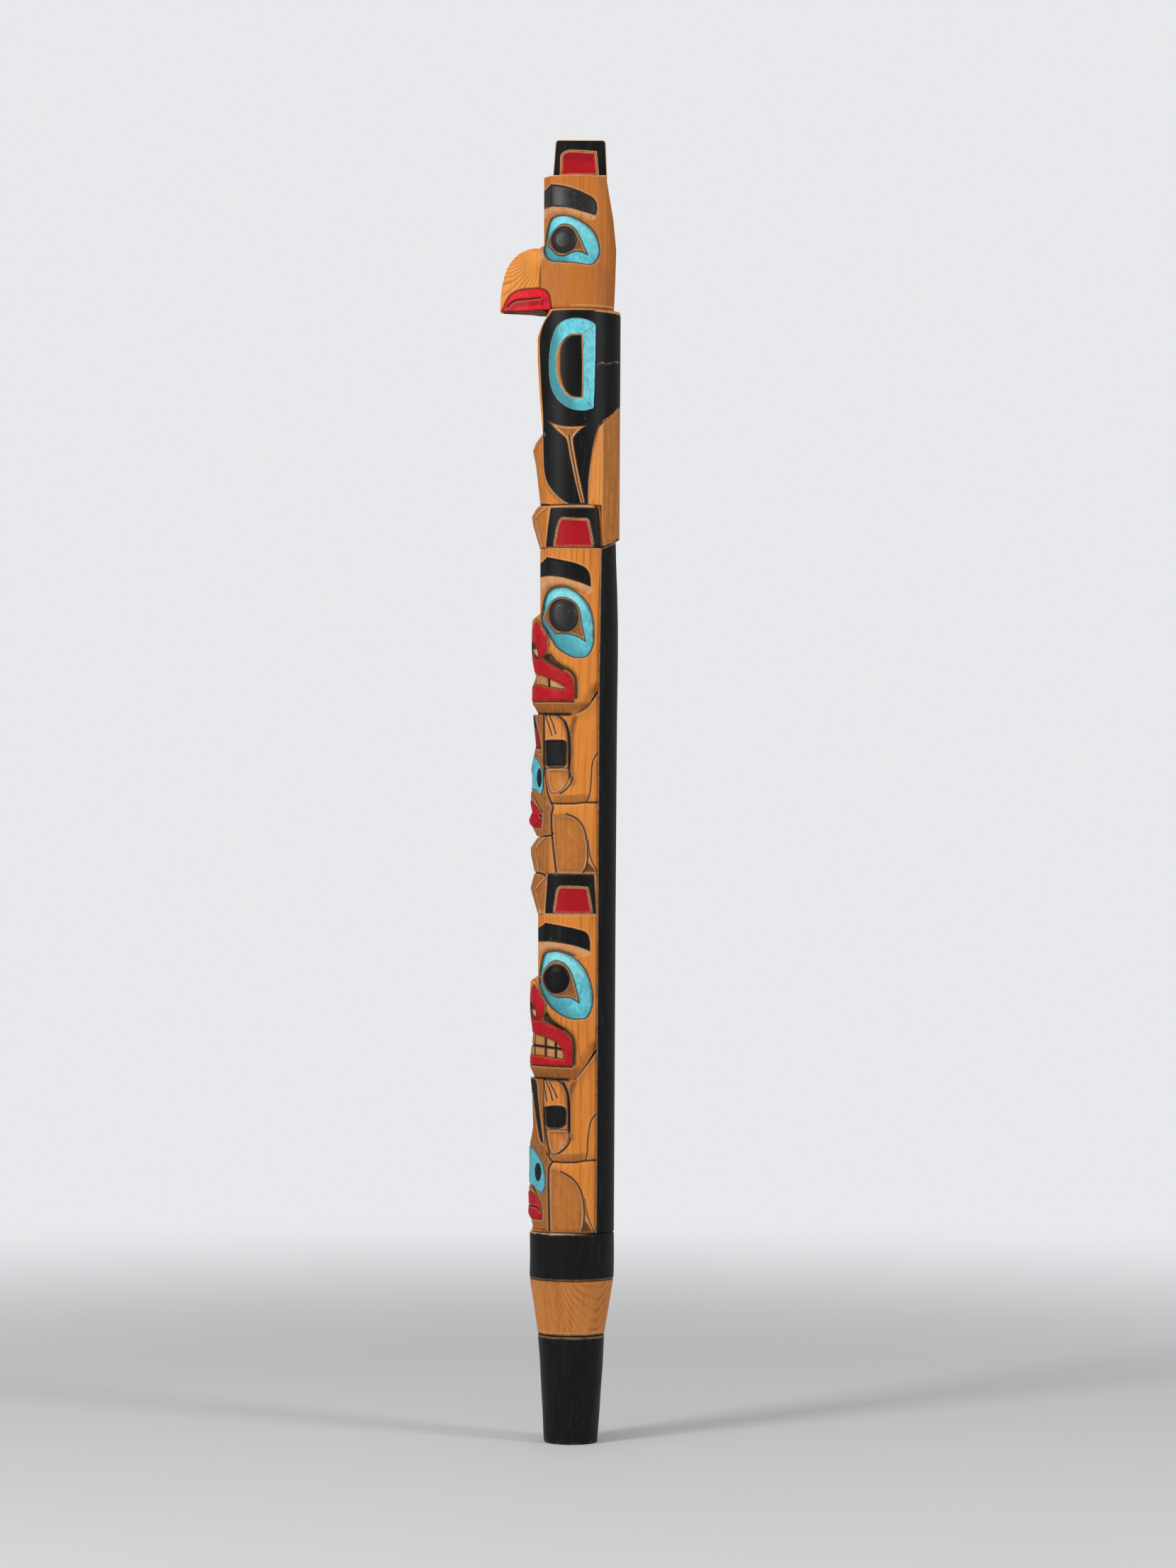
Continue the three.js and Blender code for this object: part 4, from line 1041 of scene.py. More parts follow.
def carve_small_face(c, face):
    brow, eyes, lips = c.to(face["brow"]), c.to(face["eyes"]), c.to(face["lips"])
    c.height -= 1.2 * ease(1 - np.abs(eyes) / 3.5) * ease(eyes / 0.4)
    c.stain_and_shading(dark=0.95 * ease((0.25 - brow) / 0.4), pale=0.6 * bump(brow, 0.8, 0.4))
    if "inset" in face:
        inset = c.to(face["inset"])
        red = ease((0.2 - inset) / 0.4)
        c.dark *= 1 - red
        c.stain_and_shading(pale=0.6 * bump(inset, 0.4, 0.3), red=red)
        c.height -= 0.4 * red
    c.sink(eyes, 0.9, 0.7)
    ahead, above = c.beyond(*face["pupil"][:2])
    away = np.hypot(ahead / 8, above / 14)
    c.height += 0.9 * np.clip(1 - away ** 2, 0, 1) * ease(-eyes / 0.7)
    c.stain_and_shading(dark=0.6 * bump(eyes, -0.1, 0.35), pale=0.5 * bump(eyes, 0.6, 0.4),
            red=0.4 * ease(-eyes / 0.4))
    for line in (face["cheek_line"], face["nose"]):
        cut = np.where(lips > 0.8, c.to(line, False, 6.0), FAR)
        c.groove(cut, depth=0.8, width=0.6, dark=0.85, pale=0.4)
    c.height += 0.7 * ease(-lips / 1.2)
    cut = np.where(lips < 0.3, c.to(face["mouth_line"], False, 6.0), FAR)
    c.groove(cut, depth=0.9, width=0.55, dark=0.9, pale=0.3)
    c.stain_and_shading(dark=0.75 * bump(lips, 0.2, 0.4), pale=0.5 * bump(lips, 0.9, 0.4))
    if "ball" in face:
        ball = c.to(face["ball"])
        c.height += 0.9 * ease(-ball / 3.5)
        c.stain_and_shading(dark=0.6 * bump(ball, 0.2, 0.45), red=0.6 * ease((3 - ball) / 4) * ease(ball))
    # Painted shadow in the gap between the face's back edge and the hand
    ahead, _ = c.beyond(face["edge_column"], face["pupil"][1])
    c.stain_and_shading(dark=0.8 * ease((ahead + 1.6) / 1.2) * ease(c.above(face["cheek_row"]) / 3))
    c.cover(eyes, lips)


# Modelling
def deselect():
    if bpy.context.object and bpy.context.object.mode != "OBJECT":
        bpy.ops.object.mode_set(mode="OBJECT")
    bpy.ops.object.select_all(action="DESELECT")


def activate(piece):
    """Selects one piece alone and makes it the active one"""
    deselect()
    piece.select_set(True)
    bpy.context.view_layer.objects.active = piece


def coordinates(piece):
    places = np.empty(len(piece.data.vertices) * 3)
    piece.data.vertices.foreach_get("co", places)
    return places.reshape(-1, 3)


def move(piece, places):
    piece.data.vertices.foreach_set("co", places.ravel())


def end_editing():
    """Turns all faces of the edited mesh outwards and leaves edit mode"""
    bpy.ops.mesh.select_all(action="SELECT")
    bpy.ops.mesh.normals_make_consistent(inside=False)
    bpy.ops.object.mode_set(mode="OBJECT")


def paint_layer(piece, layer):
    attribute = piece.data.attributes.get("finish") or piece.data.attributes.new(
        "finish", "FLOAT_COLOR", "POINT"
    )
    attribute.data.foreach_set("color", np.asarray(layer, np.float32).ravel())


def tube(name, round_places, up_places, shape):
    """A grid wrapped round the staff and closed at both ends. shape gives the places in metres
    and the stains and painted shading of the wood from distance round and share of the height."""
    deselect()
    bpy.ops.mesh.primitive_grid_add(
        x_subdivisions=len(round_places) - 1, y_subdivisions=len(up_places) - 1, size=1,
    )
    piece = bpy.context.object
    piece.name = piece.data.name = name
    share = coordinates(piece)[:, :2] + 0.5
    around = np.interp(share[:, 0], np.linspace(0, 1, len(round_places)), round_places)
    up = np.interp(share[:, 1], np.linspace(0, 1, len(up_places)), up_places)
    places, layer = shape(around, up)
    move(piece, places)
    paint_layer(piece, layer)
    bpy.ops.object.mode_set(mode="EDIT")
    bpy.ops.mesh.select_all(action="SELECT")
    bpy.ops.mesh.remove_doubles(threshold=5e-6)
    bpy.ops.mesh.fill_holes(sides=0)
    end_editing()
    return piece


def build(name, places, faces, layer):
    """A sheet of its own mesh from places in metres, its faces on the staff's left outwards"""
    mesh = bpy.data.meshes.new(name)
    mesh.from_pydata(places.tolist(), [], faces.tolist())
    piece = bpy.data.objects.new(name, mesh)
    bpy.context.scene.collection.objects.link(piece)
    paint_layer(piece, layer)
    activate(piece)
    normals = np.empty(len(mesh.polygons) * 3)
    mesh.polygons.foreach_get("normal", normals)
    if normals[::3].mean() < 0:
        mesh.flip_normals()
    return piece


def complete(piece, material, nodes, angle=50):
    """Shades, dresses and attaches to the root body a finished piece, named after the CAD node it
    replaces, and hides the nodes it replaces
    """
    if nodes:
        piece.name = piece.data.name = f"{nodes[0]}_finished"
    activate(piece)
    bpy.ops.object.shade_smooth_by_angle(angle=math.radians(angle))
    if not piece.data.materials:
        piece.data.materials.append(material)
    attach(piece, "root")
    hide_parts(*nodes)


def detail():
    """Spacing of the carved surface's points"""
    step = bpy.context.scene.staff_carving.detail / MM
    return step


def both_ways(half):
    """Places on both sides of the front from those on one side"""
    return np.concatenate((-half[:0:-1], half))


def spread(step, fine_to=None):
    """Places round the whole log, fine as far as the carving goes and coarse behind it"""
    half = math.pi * UNROLL
    fine_to = fine_to or half
    right = np.linspace(0, fine_to, int(math.ceil(fine_to / step)) + 1)
    if fine_to < half - 1:
        right = np.append(right, np.linspace(fine_to, half, 9)[1:])
    return both_ways(right)


def carved_tube(name, skin, carve, top, bottom, fine_to=None, step=None):
    """A wooden figure. top and bottom give heights from distance round the log."""
    step = step or detail()
    rows = int(math.ceil((top(0.0) - bottom(0.0)) / step))

    def shape(around, share):
        low, high = bottom(np.abs(around)), top(np.abs(around))
        up = low + (high - low) * share
        c = Carving(skin, around, up)
        carve(c)
        height = c.bedded(1.1)
        height += bpy.context.scene.staff_carving.tool_marks / MM * tool_marks(around, up)
        return skin.place(around, up, height), c.finish()

    return tube(name, spread(step, fine_to), np.linspace(0, 1, rows + 1), shape)


def tool_marks(around, up):
    """The faint unevenness that a knife leaves, from sines of unlike lengths"""
    return (
        np.sin(around / 2.3 + 1.7 * np.sin(up / 9.0)) * np.sin(up / 5.1 + around / 17)
        + 0.6 * np.sin(around / 5.9 + up / 31.0) + 0.5 * np.sin(up / 13.7 + 2 * np.sin(around / 11))
    ) / 2.1


def level_edge(row):
    """A level edge, as heights from distance round the log"""
    return lambda around: level(row) + 0 * np.asarray(around, float)


def drawn_edge(skin, points, gap=0.0):
    """A drawn edge, as heights from distance round the log"""
    line = skin.line(points, False)
    line = line[np.argsort(line[:, 0], kind="stable")]
    return lambda around: np.interp(around, *line.T) + gap


def fill(solids, others, depth, step):
    """Places and triangles that fill loops, where depth is negative"""
    points, edges = [], []
    for line in solids + others:
        first = len(points)
        points += [Vector(place) for place in line]
        edges += [(first + i, first + (i + 1) % len(line)) for i in range(len(line))]
    every = np.concatenate(solids)
    low, high = every.min(axis=0), every.max(axis=0)
    grid = np.stack(np.meshgrid(
        np.arange(low[0] + step / 2, high[0], step), np.arange(low[1] + step / 2, high[1], step),
    ), axis=-1).reshape(-1, 2)
    points += [Vector(place) for place in grid[depth(*grid.T) < -0.45 * step]]
    places, _, faces, *_ = delaunay_2d_cdt(points, edges, [], 0, 1e-4, False)
    flat = np.array([tuple(place) for place in places])
    faces = np.array([face for face in faces if len(face) == 3])
    faces = faces[depth(*flat[faces].mean(axis=1).T) < -1e-3]
    used, faces = np.unique(faces, return_inverse=True)
    return flat[used], faces.reshape(-1, 3)


def inlay(name, skin, carve, solid, gaps=(), islands=(), proud=0.05, step=None, thick=0.9,
          across=False, inset=0.0):
    """A painted layer: a thin closed shell that follows the carving inside drawn outlines.
    Returns its left half or, where it runs across the front, the whole."""
    def loop(points, out=0.0):
        line = skin.line(points)
        line = grow(line, out) if out else line.copy()
        if skin.mirrored:
            line[:, 0] = np.clip(line[:, 0], 0, UNROLL * math.pi)
        return line[np.linalg.norm(line - np.roll(line, 1, axis=0), axis=1) > 1e-3]

    solids = [loop(points, -inset) for points in solid]
    holes = [loop(points, out) for points, out in gaps]
    cores = [loop(points) for points in islands]

    def depth(x, y):
        def nearest(lines):
            return np.minimum.reduce([measure(x, y, line, reach=4.0) for line in lines])

        inside = nearest(solids)
        if holes:
            inside = np.maximum(inside, -nearest(holes))
        if cores:
            inside = np.minimum(inside, nearest(cores))
        return inside

    flat, faces = fill(solids, holes + cores, depth, step or detail() * 1.25)
    c = Carving(skin, *flat.T)
    carve(c)
    spots = skin.place(*flat.T, c.height + proud)
    if across:
        spots[flat[:, 0] < 1e-6, 0] = 0.0
    piece = build(name, spots, faces, c.finish())
    if across:
        mirror = piece.modifiers.new("Other half", "MIRROR")
        mirror.merge_threshold = 2e-5
        bpy.ops.object.modifier_apply(modifier=mirror.name)
    shell = piece.modifiers.new("Thickness", "SOLIDIFY")
    shell.thickness, shell.offset = thick * MM, -1
    bpy.ops.object.modifier_apply(modifier=shell.name)
    return piece


def other_side(piece, name):
    """A mirrored copy with its own mesh"""
    copy = piece.copy()
    copy.data = piece.data.copy()
    copy.name = copy.data.name = name
    bpy.context.scene.collection.objects.link(copy)
    move(copy, coordinates(copy) * (-1, 1, 1))
    copy.data.flip_normals()
    return copy


def inlay_pair(stem, material, slot, *args, **kwargs):
    left = inlay(f"{stem}_left", *args, **kwargs)
    right = other_side(left, f"{stem}_right")
    for piece, side in ((left, "left"), (right, "right")):
        complete(piece, material, [f"{stem}_{side}"])


# Skins of the figures
SEAT = by_level(SPINE_SEAT)
SKINS = {
    "eagle_head": Skin(*EAGLE_HEAD_ROUND, EAGLE_HEAD_FRONT, EAGLE_HEAD_BACK, EAGLE_FACET),
    "eagle_body": Skin(*EAGLE_BODY_ROUND, EAGLE_BODY_FRONT),
    "eagle_tail": Skin(*EAGLE_BODY_ROUND, EAGLE_BODY_FRONT, planes=TAIL_FLATS),
    "upper_head": Skin(*BEAR_ROUND, UPPER_HEAD_FRONT, facet=UPPER_FACET, seat=SEAT),
    "lower_head": Skin(*BEAR_ROUND, LOWER_HEAD_FRONT, facet=LOWER_FACET, seat=SEAT),
    "upper_torso": Skin(*BEAR_ROUND, UPPER_TORSO_FRONT, seat=SEAT),
    "lower_torso": Skin(*BEAR_ROUND, LOWER_TORSO_FRONT, seat=SEAT),
    "upper_face": Skin(*BEAR_ROUND, UPPER_FACE_FRONT, seat=SEAT),
    "lower_face": Skin(*BEAR_ROUND, LOWER_FACE_FRONT, seat=SEAT),
}


# Finishes
class Wiring:
    """Short calls for placing and joining nodes"""

    def __init__(self, tree):
        self.tree = tree

    def feed(self, socket, value):
        """Links a socket, or sets its constant value"""
        if isinstance(value, bpy.types.NodeSocket):
            self.tree.links.new(value, socket)
        else:
            socket.default_value = value

    def add(self, kind, inputs=None, **settings):
        node = self.tree.nodes.new("ShaderNode" + kind)
        for key, value in settings.items():
            setattr(node, key, value)
        for key, value in (inputs or {}).items():
            self.feed(node.inputs[key], value)
        return node

    def mix(self, factor, a, b, blend="MIX"):
        return self.add("Mix", {0: factor, 6: a, 7: b}, data_type="RGBA", blend_type=blend,
                        clamp_factor=True).outputs[2]

    def shaded(self, color, shade):
        tone = self.add("CombineColor", {0: shade, 1: shade, 2: shade}).outputs[0]
        return self.mix(1.0, color, tone, "MULTIPLY")

    def math(self, operation, *values):
        return self.add("Math", dict(enumerate(values)), operation=operation).outputs[0]

    def times(self, a, b):
        return self.math("MULTIPLY", a, b)

    def plus(self, a, b):
        return self.math("ADD", a, b)

    def vector(self, operation, *values):
        return self.add("VectorMath", dict(enumerate(values)), operation=operation).outputs

    def span(self, value, low, high, to_low=0.0, to_high=1.0):
        inputs = {0: value, 1: low, 2: high, 3: to_low, 4: to_high}
        return self.add("MapRange", inputs, interpolation_type="SMOOTHSTEP").outputs[0]

    def noise(self, vector, scale, octaves=3.0, rough=0.55, warp=0.0):
        return self.add("TexNoise", {
            "Vector": vector, "Scale": scale, "Detail": octaves, "Roughness": rough,
            "Distortion": warp,
        }).outputs["Fac"]

    def streaks(self, vector, scale, octaves, rough=0.55):
        """Noise of unlike scales across and along the staff"""
        drawn = self.add("Mapping", {"Vector": vector, "Scale": scale}).outputs[0]
        return self.noise(drawn, 1.0, octaves, rough)


def start_group(name, inputs, outputs):
    """A node group: its wiring, its input and output sockets and the place on the piece"""
    tree = bpy.data.node_groups.new(name, "ShaderNodeTree")
    for label, default in inputs.items():
        kind = "Float" if isinstance(default, float) else {3: "Vector", 4: "Color"}[len(default)]
        socket = tree.interface.new_socket(
            name=label, in_out="INPUT", socket_type="NodeSocket" + kind,
        )
        socket.default_value = default
    for label in outputs:
        kind = "Color" if label == "Color" else "Float"
        tree.interface.new_socket(name=label, in_out="OUTPUT", socket_type="NodeSocket" + kind)
    w = Wiring(tree)
    into, out = tree.nodes.new("NodeGroupInput"), tree.nodes.new("NodeGroupOutput")
    return w, into.outputs, out.inputs, w.add("TexCoord").outputs["Object"]


@cache
def grain_group():
    """Cedar: growth rings round a far pith, pores along the log, slow changes of tone"""
    w, into, out, place = start_group("Cedar grain", {
        "Light": (0.62, 0.24, 0.055, 1), "Deep": (0.38, 0.12, 0.025, 1), "Lines": 0.55,
        "Pith": (0.11, 0.03, 0.0), "Across": (1.0, 1.0, 0.045), "Spacing": 0.0032,
    }, ("Color", "Height"))
    shifted = w.vector("SUBTRACT", place, into["Pith"])[0]
    along = w.vector("MULTIPLY", shifted, into["Across"])[0]
    length = w.vector("LENGTH", along)["Value"]
    sway = w.streaks(place, (14, 14, 5), 2.0)
    wide = w.streaks(place, (45, 45, 6), 2.0)
    bent = w.plus(w.plus(length, w.times(sway, 0.011)), w.times(wide, 0.0022))
    phase = w.math("FRACT", w.math("DIVIDE", bent, into["Spacing"]))
    ring = w.times(w.span(phase, 0.5, 0.9), w.span(phase, 0.9, 1.0, 1.0, 0.0))
    some = w.streaks(place, (60, 60, 9), 2.0)
    ring = w.times(ring, w.span(some, 0.3, 0.7, 0.25, 1.0))
    fibre = w.streaks(place, (1500, 1500, 60), 4.0, 0.65)
    streak = w.streaks(place, (260, 260, 14), 3.0)
    tone = w.streaks(place, (18, 18, 9), 3.0)
    amount = w.times(ring, into["Lines"])
    amount = w.plus(amount, w.times(w.span(streak, 0.45, 0.72), 0.35))
    amount = w.plus(amount, w.times(w.span(fibre, 0.48, 0.7), 0.4))
    amount = w.plus(amount, w.span(tone, 0.35, 0.7, -0.12, 0.25))
    w.feed(out["Color"], w.mix(amount, into["Light"], into["Deep"]))
    w.feed(out["Height"], w.plus(w.times(ring, -0.5), w.times(fibre, 0.6)))
    return w.tree


@cache
def brush_group():
    """Paint laid on by brush: streaks, mottling, small bare specks"""
    w, into, out, place = start_group("Brushed paint", {
        "Paint": (0.2, 0.2, 0.2, 1), "Thin": (0.3, 0.3, 0.3, 1), "Thick": (0.1, 0.1, 0.1, 1),
        "Streaks": (500.0, 500.0, 90.0), "Mottle": 0.5,
    }, ("Color", "Height", "Speck"))
    drawn = w.vector("MULTIPLY", place, into["Streaks"])[0]
    streak = w.noise(drawn, 1.0, 4.0, 0.6, 0.4)
    cloud = w.noise(place, 130.0, 4.0, 0.6)
    fine = w.noise(place, 1100.0, 3.0, 0.6)
    thin = w.times(w.span(streak, 0.48, 0.78), into["Mottle"])
    both = w.plus(w.times(streak, 0.5), w.times(fine, 0.5))
    thick = w.times(w.span(both, 0.5, 0.36), into["Mottle"])
    color = w.mix(thick, w.mix(thin, into["Paint"], into["Thin"]), into["Thick"])
    w.feed(out["Color"], w.shaded(color, w.span(cloud, 0.3, 0.7, 0.9, 1.1)))
    w.feed(out["Height"], w.plus(w.times(streak, 0.7), w.times(fine, 0.4)))
    w.feed(out["Speck"], w.span(w.noise(place, 420.0, 2.0, 0.5), 0.755, 0.79))
    return w.tree


@cache
def wear_and_shading_group():
    """Age and painted light: dark stains in the cuts, pale cut edges, brown on bevels and in
    hollows, and painted accents; the same layer also lays painted shade and painted highlights
    """
    w, into, out, place = start_group("Cuts, wear and painted shading", {
        "Color": (0.5, 0.5, 0.5, 1), "Stain": (0.011, 0.008, 0.007, 1),
        "Edge": (0.68, 0.43, 0.23, 1), "Brown": (0.21, 0.075, 0.02, 1),
        "Accent": (0.3, 0.01, 0.015, 1),
    }, ("Color",))
    layer = w.add("Attribute", attribute_name="finish").outputs
    dark, pale, brown = w.add("SeparateColor", {0: layer["Color"]}).outputs
    rough = w.noise(place, 230.0, 3.0, 0.6)
    brown = w.times(brown, w.span(rough, 0.2, 0.6, 0.55, 1.0))
    pale = w.times(pale, w.span(rough, 0.3, 0.58, 0.35, 1.0))
    dark = w.times(dark, w.span(w.noise(place, 700.0, 3.0, 0.6), 0.2, 0.5, 0.75, 1.08))
    color = w.mix(brown, into["Color"], into["Brown"])
    color = w.mix(pale, color, into["Edge"])
    color = w.mix(layer["Alpha"], color, into["Accent"])
    w.feed(out["Color"], w.mix(dark, color, into["Stain"]))
    return w.tree


def start_finish(name):
    """A new material, its wiring and the sockets of its surface"""
    material = bpy.data.materials.new(name)
    material.use_nodes = True
    tree = material.node_tree
    return material, Wiring(tree), tree.nodes["Principled BSDF"].inputs


def dress(w, surface, color, height, heights, roughness, relief, gloss):
    """Gives a surface its colour, its roughness by height, its fine relief and its sheen"""
    w.feed(surface["Base Color"], color)
    rough = w.add("MapRange", dict(enumerate((height, *heights, *roughness))))
    w.feed(surface["Roughness"], rough.outputs[0])
    uneven = w.add("Bump", {"Height": height, "Strength": relief, "Distance": 0.0003})
    w.feed(surface["Normal"], uneven.outputs[0])
    w.feed(surface["Specular IOR Level"], gloss)


def wood(name, light, deep, lines=0.8, pith=(0.10, 0.075, 0.0), across=(1.0, 1.0, 0.045),
         spacing=0.0032):
    """Oiled cedar"""
    material, w, surface = start_finish(name)
    grain = w.add("Group", {
        "Light": (*light, 1), "Deep": (*deep, 1), "Lines": lines, "Pith": pith, "Across": across,
        "Spacing": spacing,
    }, node_tree=grain_group()).outputs
    worn_and_shaded = w.add("Group", {"Color": grain["Color"]}, node_tree=wear_and_shading_group())
    dress(w, surface, worn_and_shaded.outputs["Color"], grain["Height"], (-0.2, 0.5), (0.45, 0.65), 0.35, 0.2)
    return material


def paint(name, color, thin, thick, streaks, mottle, roughness, gloss,
          edge=(0.62, 0.38, 0.19), specks=0.0):
    """A brushed paint that shows the wood at its rubbed edges; where the layer is red it takes its
    thick colour, and on the turquoise the pale and red layers are painted highlights and painted
    shade
    """
    material, w, surface = start_finish(name)
    brush = w.add("Group", {
        "Paint": (*color, 1), "Thin": (*thin, 1), "Thick": (*thick, 1), "Streaks": streaks,
        "Mottle": mottle,
    }, node_tree=brush_group()).outputs
    # The red layer turns the paint to its thick colour; on the turquoise this is painted shade
    worn_and_shaded = w.add("Group", {
        "Color": brush["Color"], "Edge": (*edge, 1), "Brown": (*color, 1), "Accent": (*thick, 1),
    }, node_tree=wear_and_shading_group()).outputs["Color"]
    if specks:
        worn_and_shaded = w.mix(w.times(brush["Speck"], specks), worn_and_shaded, (0.35, 0.34, 0.33, 1))
    dress(w, surface, worn_and_shaded, brush["Height"], (0.3, 0.8), roughness, 0.3, gloss)
    return material


def shades(color, thin, thick):
    """A paint's colour, and the colours where it is thin and where it is thick; the thick colour
    also serves as painted shade
    """
    return tuple(color), tuple(min(c * thin, 1) for c in color), tuple(c * thick for c in color)


@cache
def cedar():
    colors = bpy.context.scene.staff_finish
    return wood("Oiled cedar", colors.cedar_light, colors.cedar_deep, 0.6)


@cache
def black_paint():
    color = bpy.context.scene.staff_finish.black
    return paint("Black paint", color, (0.021, 0.019, 0.018), (0.003, 0.003, 0.003),
                 (420.0, 420.0, 45.0), 0.6, (0.36, 0.52), 0.13, specks=0.5)


# A lighter, glossier black for carved brows and pupils; its lighter colour partly paints in their
# sheen
@cache
def sheen_black_paint():
    color = bpy.context.scene.staff_finish.sheen_black
    return paint("Sheen black paint", color, (0.05, 0.044, 0.038), (0.008, 0.008, 0.008),
                 (300.0, 300.0, 300.0), 0.7, (0.34, 0.5), 0.3, specks=0.3)


@cache
def red_paint():
    return paint("Red paint", *shades(bpy.context.scene.staff_finish.red, 1.25, 0.55),
                 (650.0, 260.0, 420.0), 0.8, (0.4, 0.58), 0.15)


def bright_red_paint():
    return paint("Bright red paint", *shades(bpy.context.scene.staff_finish.bright_red, 1.2, 0.6),
                 (650.0, 260.0, 420.0), 0.6, (0.4, 0.58), 0.15)


@cache
def turquoise_paint():
    return paint("Turquoise paint", *shades(bpy.context.scene.staff_finish.turquoise, 1.45, 0.5),
                 # Its edge colour is a light turquoise, used for painted highlights on the sockets
                 # and rings
                 (520.0, 330.0, 240.0), 0.9, (0.45, 0.65), 0.2, edge=(0.38, 0.78, 0.80))


WOOD_SLOT, BLACK_SLOT, RED_SLOT = "oiled_wood", "black_paint", "red_paint"
BLUE_SLOT, DOWEL_SLOT = "turquoise_paint", "dowel_wood"


# Operators, one for each piece or group of like pieces
class STAFF_OT_shaft(bpy.types.Operator):
    """Turn the black foot, the oiled grip and the black band"""
    bl_idname = "staff.shaft"
    bl_label = "Foot, grip and band"

    def execute(self, context):
        colors = context.scene.staff_finish
        (_, foot_top), (grip_low, grip_top), (band_low, band_top) = (
            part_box(node) for node in ("foot", "grip", "band"))
        tip, neck, wide = FOOT_TIP_RADIUS, foot_top.x / MM, band_top.x / MM
        low, high = 0.0, foot_top.z / MM
        self.turn("foot", black_paint(), BLACK_SLOT, [
            (tip - 1.0, low), (tip - 0.35, low + 0.3), (tip, low + 1.1), (neck, high - 0.7),
            (neck - 0.4, high),
        ])
        low, high = grip_low.z / MM, grip_top.z / MM
        grip = wood("Grip cedar", colors.grip_light, colors.grip_deep, 0.75,
                    (-0.033, -0.022, 0.0), (1.0, 1.0, 0.0), 0.0011)
        self.turn("grip", grip, WOOD_SLOT, [
            (neck - 0.7, low), (neck, low + 0.7), (wide - 0.3, high - 1.0), (wide - 0.6, high),
        ])
        low, high = band_low.z / MM, band_top.z / MM
        self.turn("band", black_paint(), BLACK_SLOT, [
            (wide - 0.6, low), (wide - 0.15, low + 0.5), (wide, low + 1.5), (wide, high - 1.6),
            (wide - 0.3, high - 0.8), (wide - 1.0, high),
        ])
        return {"FINISHED"}

    def turn(self, name, material, slot, stations):
        """Extrudes a disc upwards from station to station, as on a lathe"""
        stations = np.array(stations)
        (radius, low), high = stations[0], stations[-1, 1]
        deselect()
        bpy.ops.mesh.primitive_circle_add(
            vertices=160, radius=radius * MM, fill_type="NGON", location=(0, 0, low * MM),
        )
        piece = bpy.context.object
        piece.name = piece.data.name = name
        bpy.ops.object.transform_apply(location=True, rotation=True, scale=True)
        bpy.ops.object.mode_set(mode="EDIT")
        bpy.ops.mesh.select_all(action="SELECT")
        up = [low]
        for (_, below), (_, above) in zip(stations, stations[1:]):
            up += list(np.linspace(below, above, max(2, int((above - below) / 1.5)) + 1)[1:])
        wide = np.interp(up, stations[:, 1], stations[:, 0])
        for i in range(1, len(up)):
            bpy.ops.mesh.extrude_region_move(
                TRANSFORM_OT_translate={"value": (0, 0, (up[i] - up[i - 1]) * MM)}
            )
            share = wide[i] / wide[i - 1]
            bpy.ops.transform.resize(value=(share, share, 1), center_override=(0, 0, 0))
        end_editing()
        places = coordinates(piece) / MM
        x, y, z = places.T.copy()
        turn, reach = np.arctan2(y, x), np.hypot(x, y)
        wobble = 0.12 * np.sin(3 * turn + z / 14) + 0.08 * np.sin(7 * turn - z / 6)
        share = 1 + np.where(z > 1.5, wobble, 0) / np.maximum(reach, 1)
        places[:, :2] *= np.where(reach > 5, share, 1)[:, None]
        move(piece, places * MM)
        dark, pale, _, _ = layer = np.zeros((4, len(places)))
        rag = 0.35 * np.sin(9 * turn) + 0.25 * np.sin(23 * turn + 1)
        if name == "foot":
            dark += 0.8 * bump(z, high, 0.3)
            pale += 0.45 * bump(z - high + 0.6 + 0.3 * rag, 0, 0.4)
            pale += 0.12 * bump(z, 0.9, 0.8) * ease(0.3 + rag)
        elif name == "grip":
            dark += 0.95 * bump(z - low - 0.2 - 0.4 * rag, 0, 0.8) + 0.85 * bump(z, high, 0.6)
            pale += 0.35 * bump(z - low, 1.9, 0.6)
        else:
            pale += 0.35 * bump(z - low, 0.4, 0.5)
            pale += 0.95 * ease((z - high + 1.3 + 0.5 * rag) / 0.5) * ease(0.5 - np.sin(turn))
        paint_layer(piece, np.clip(layer.T, 0, 1))
        complete(piece, material, [name], angle=30)


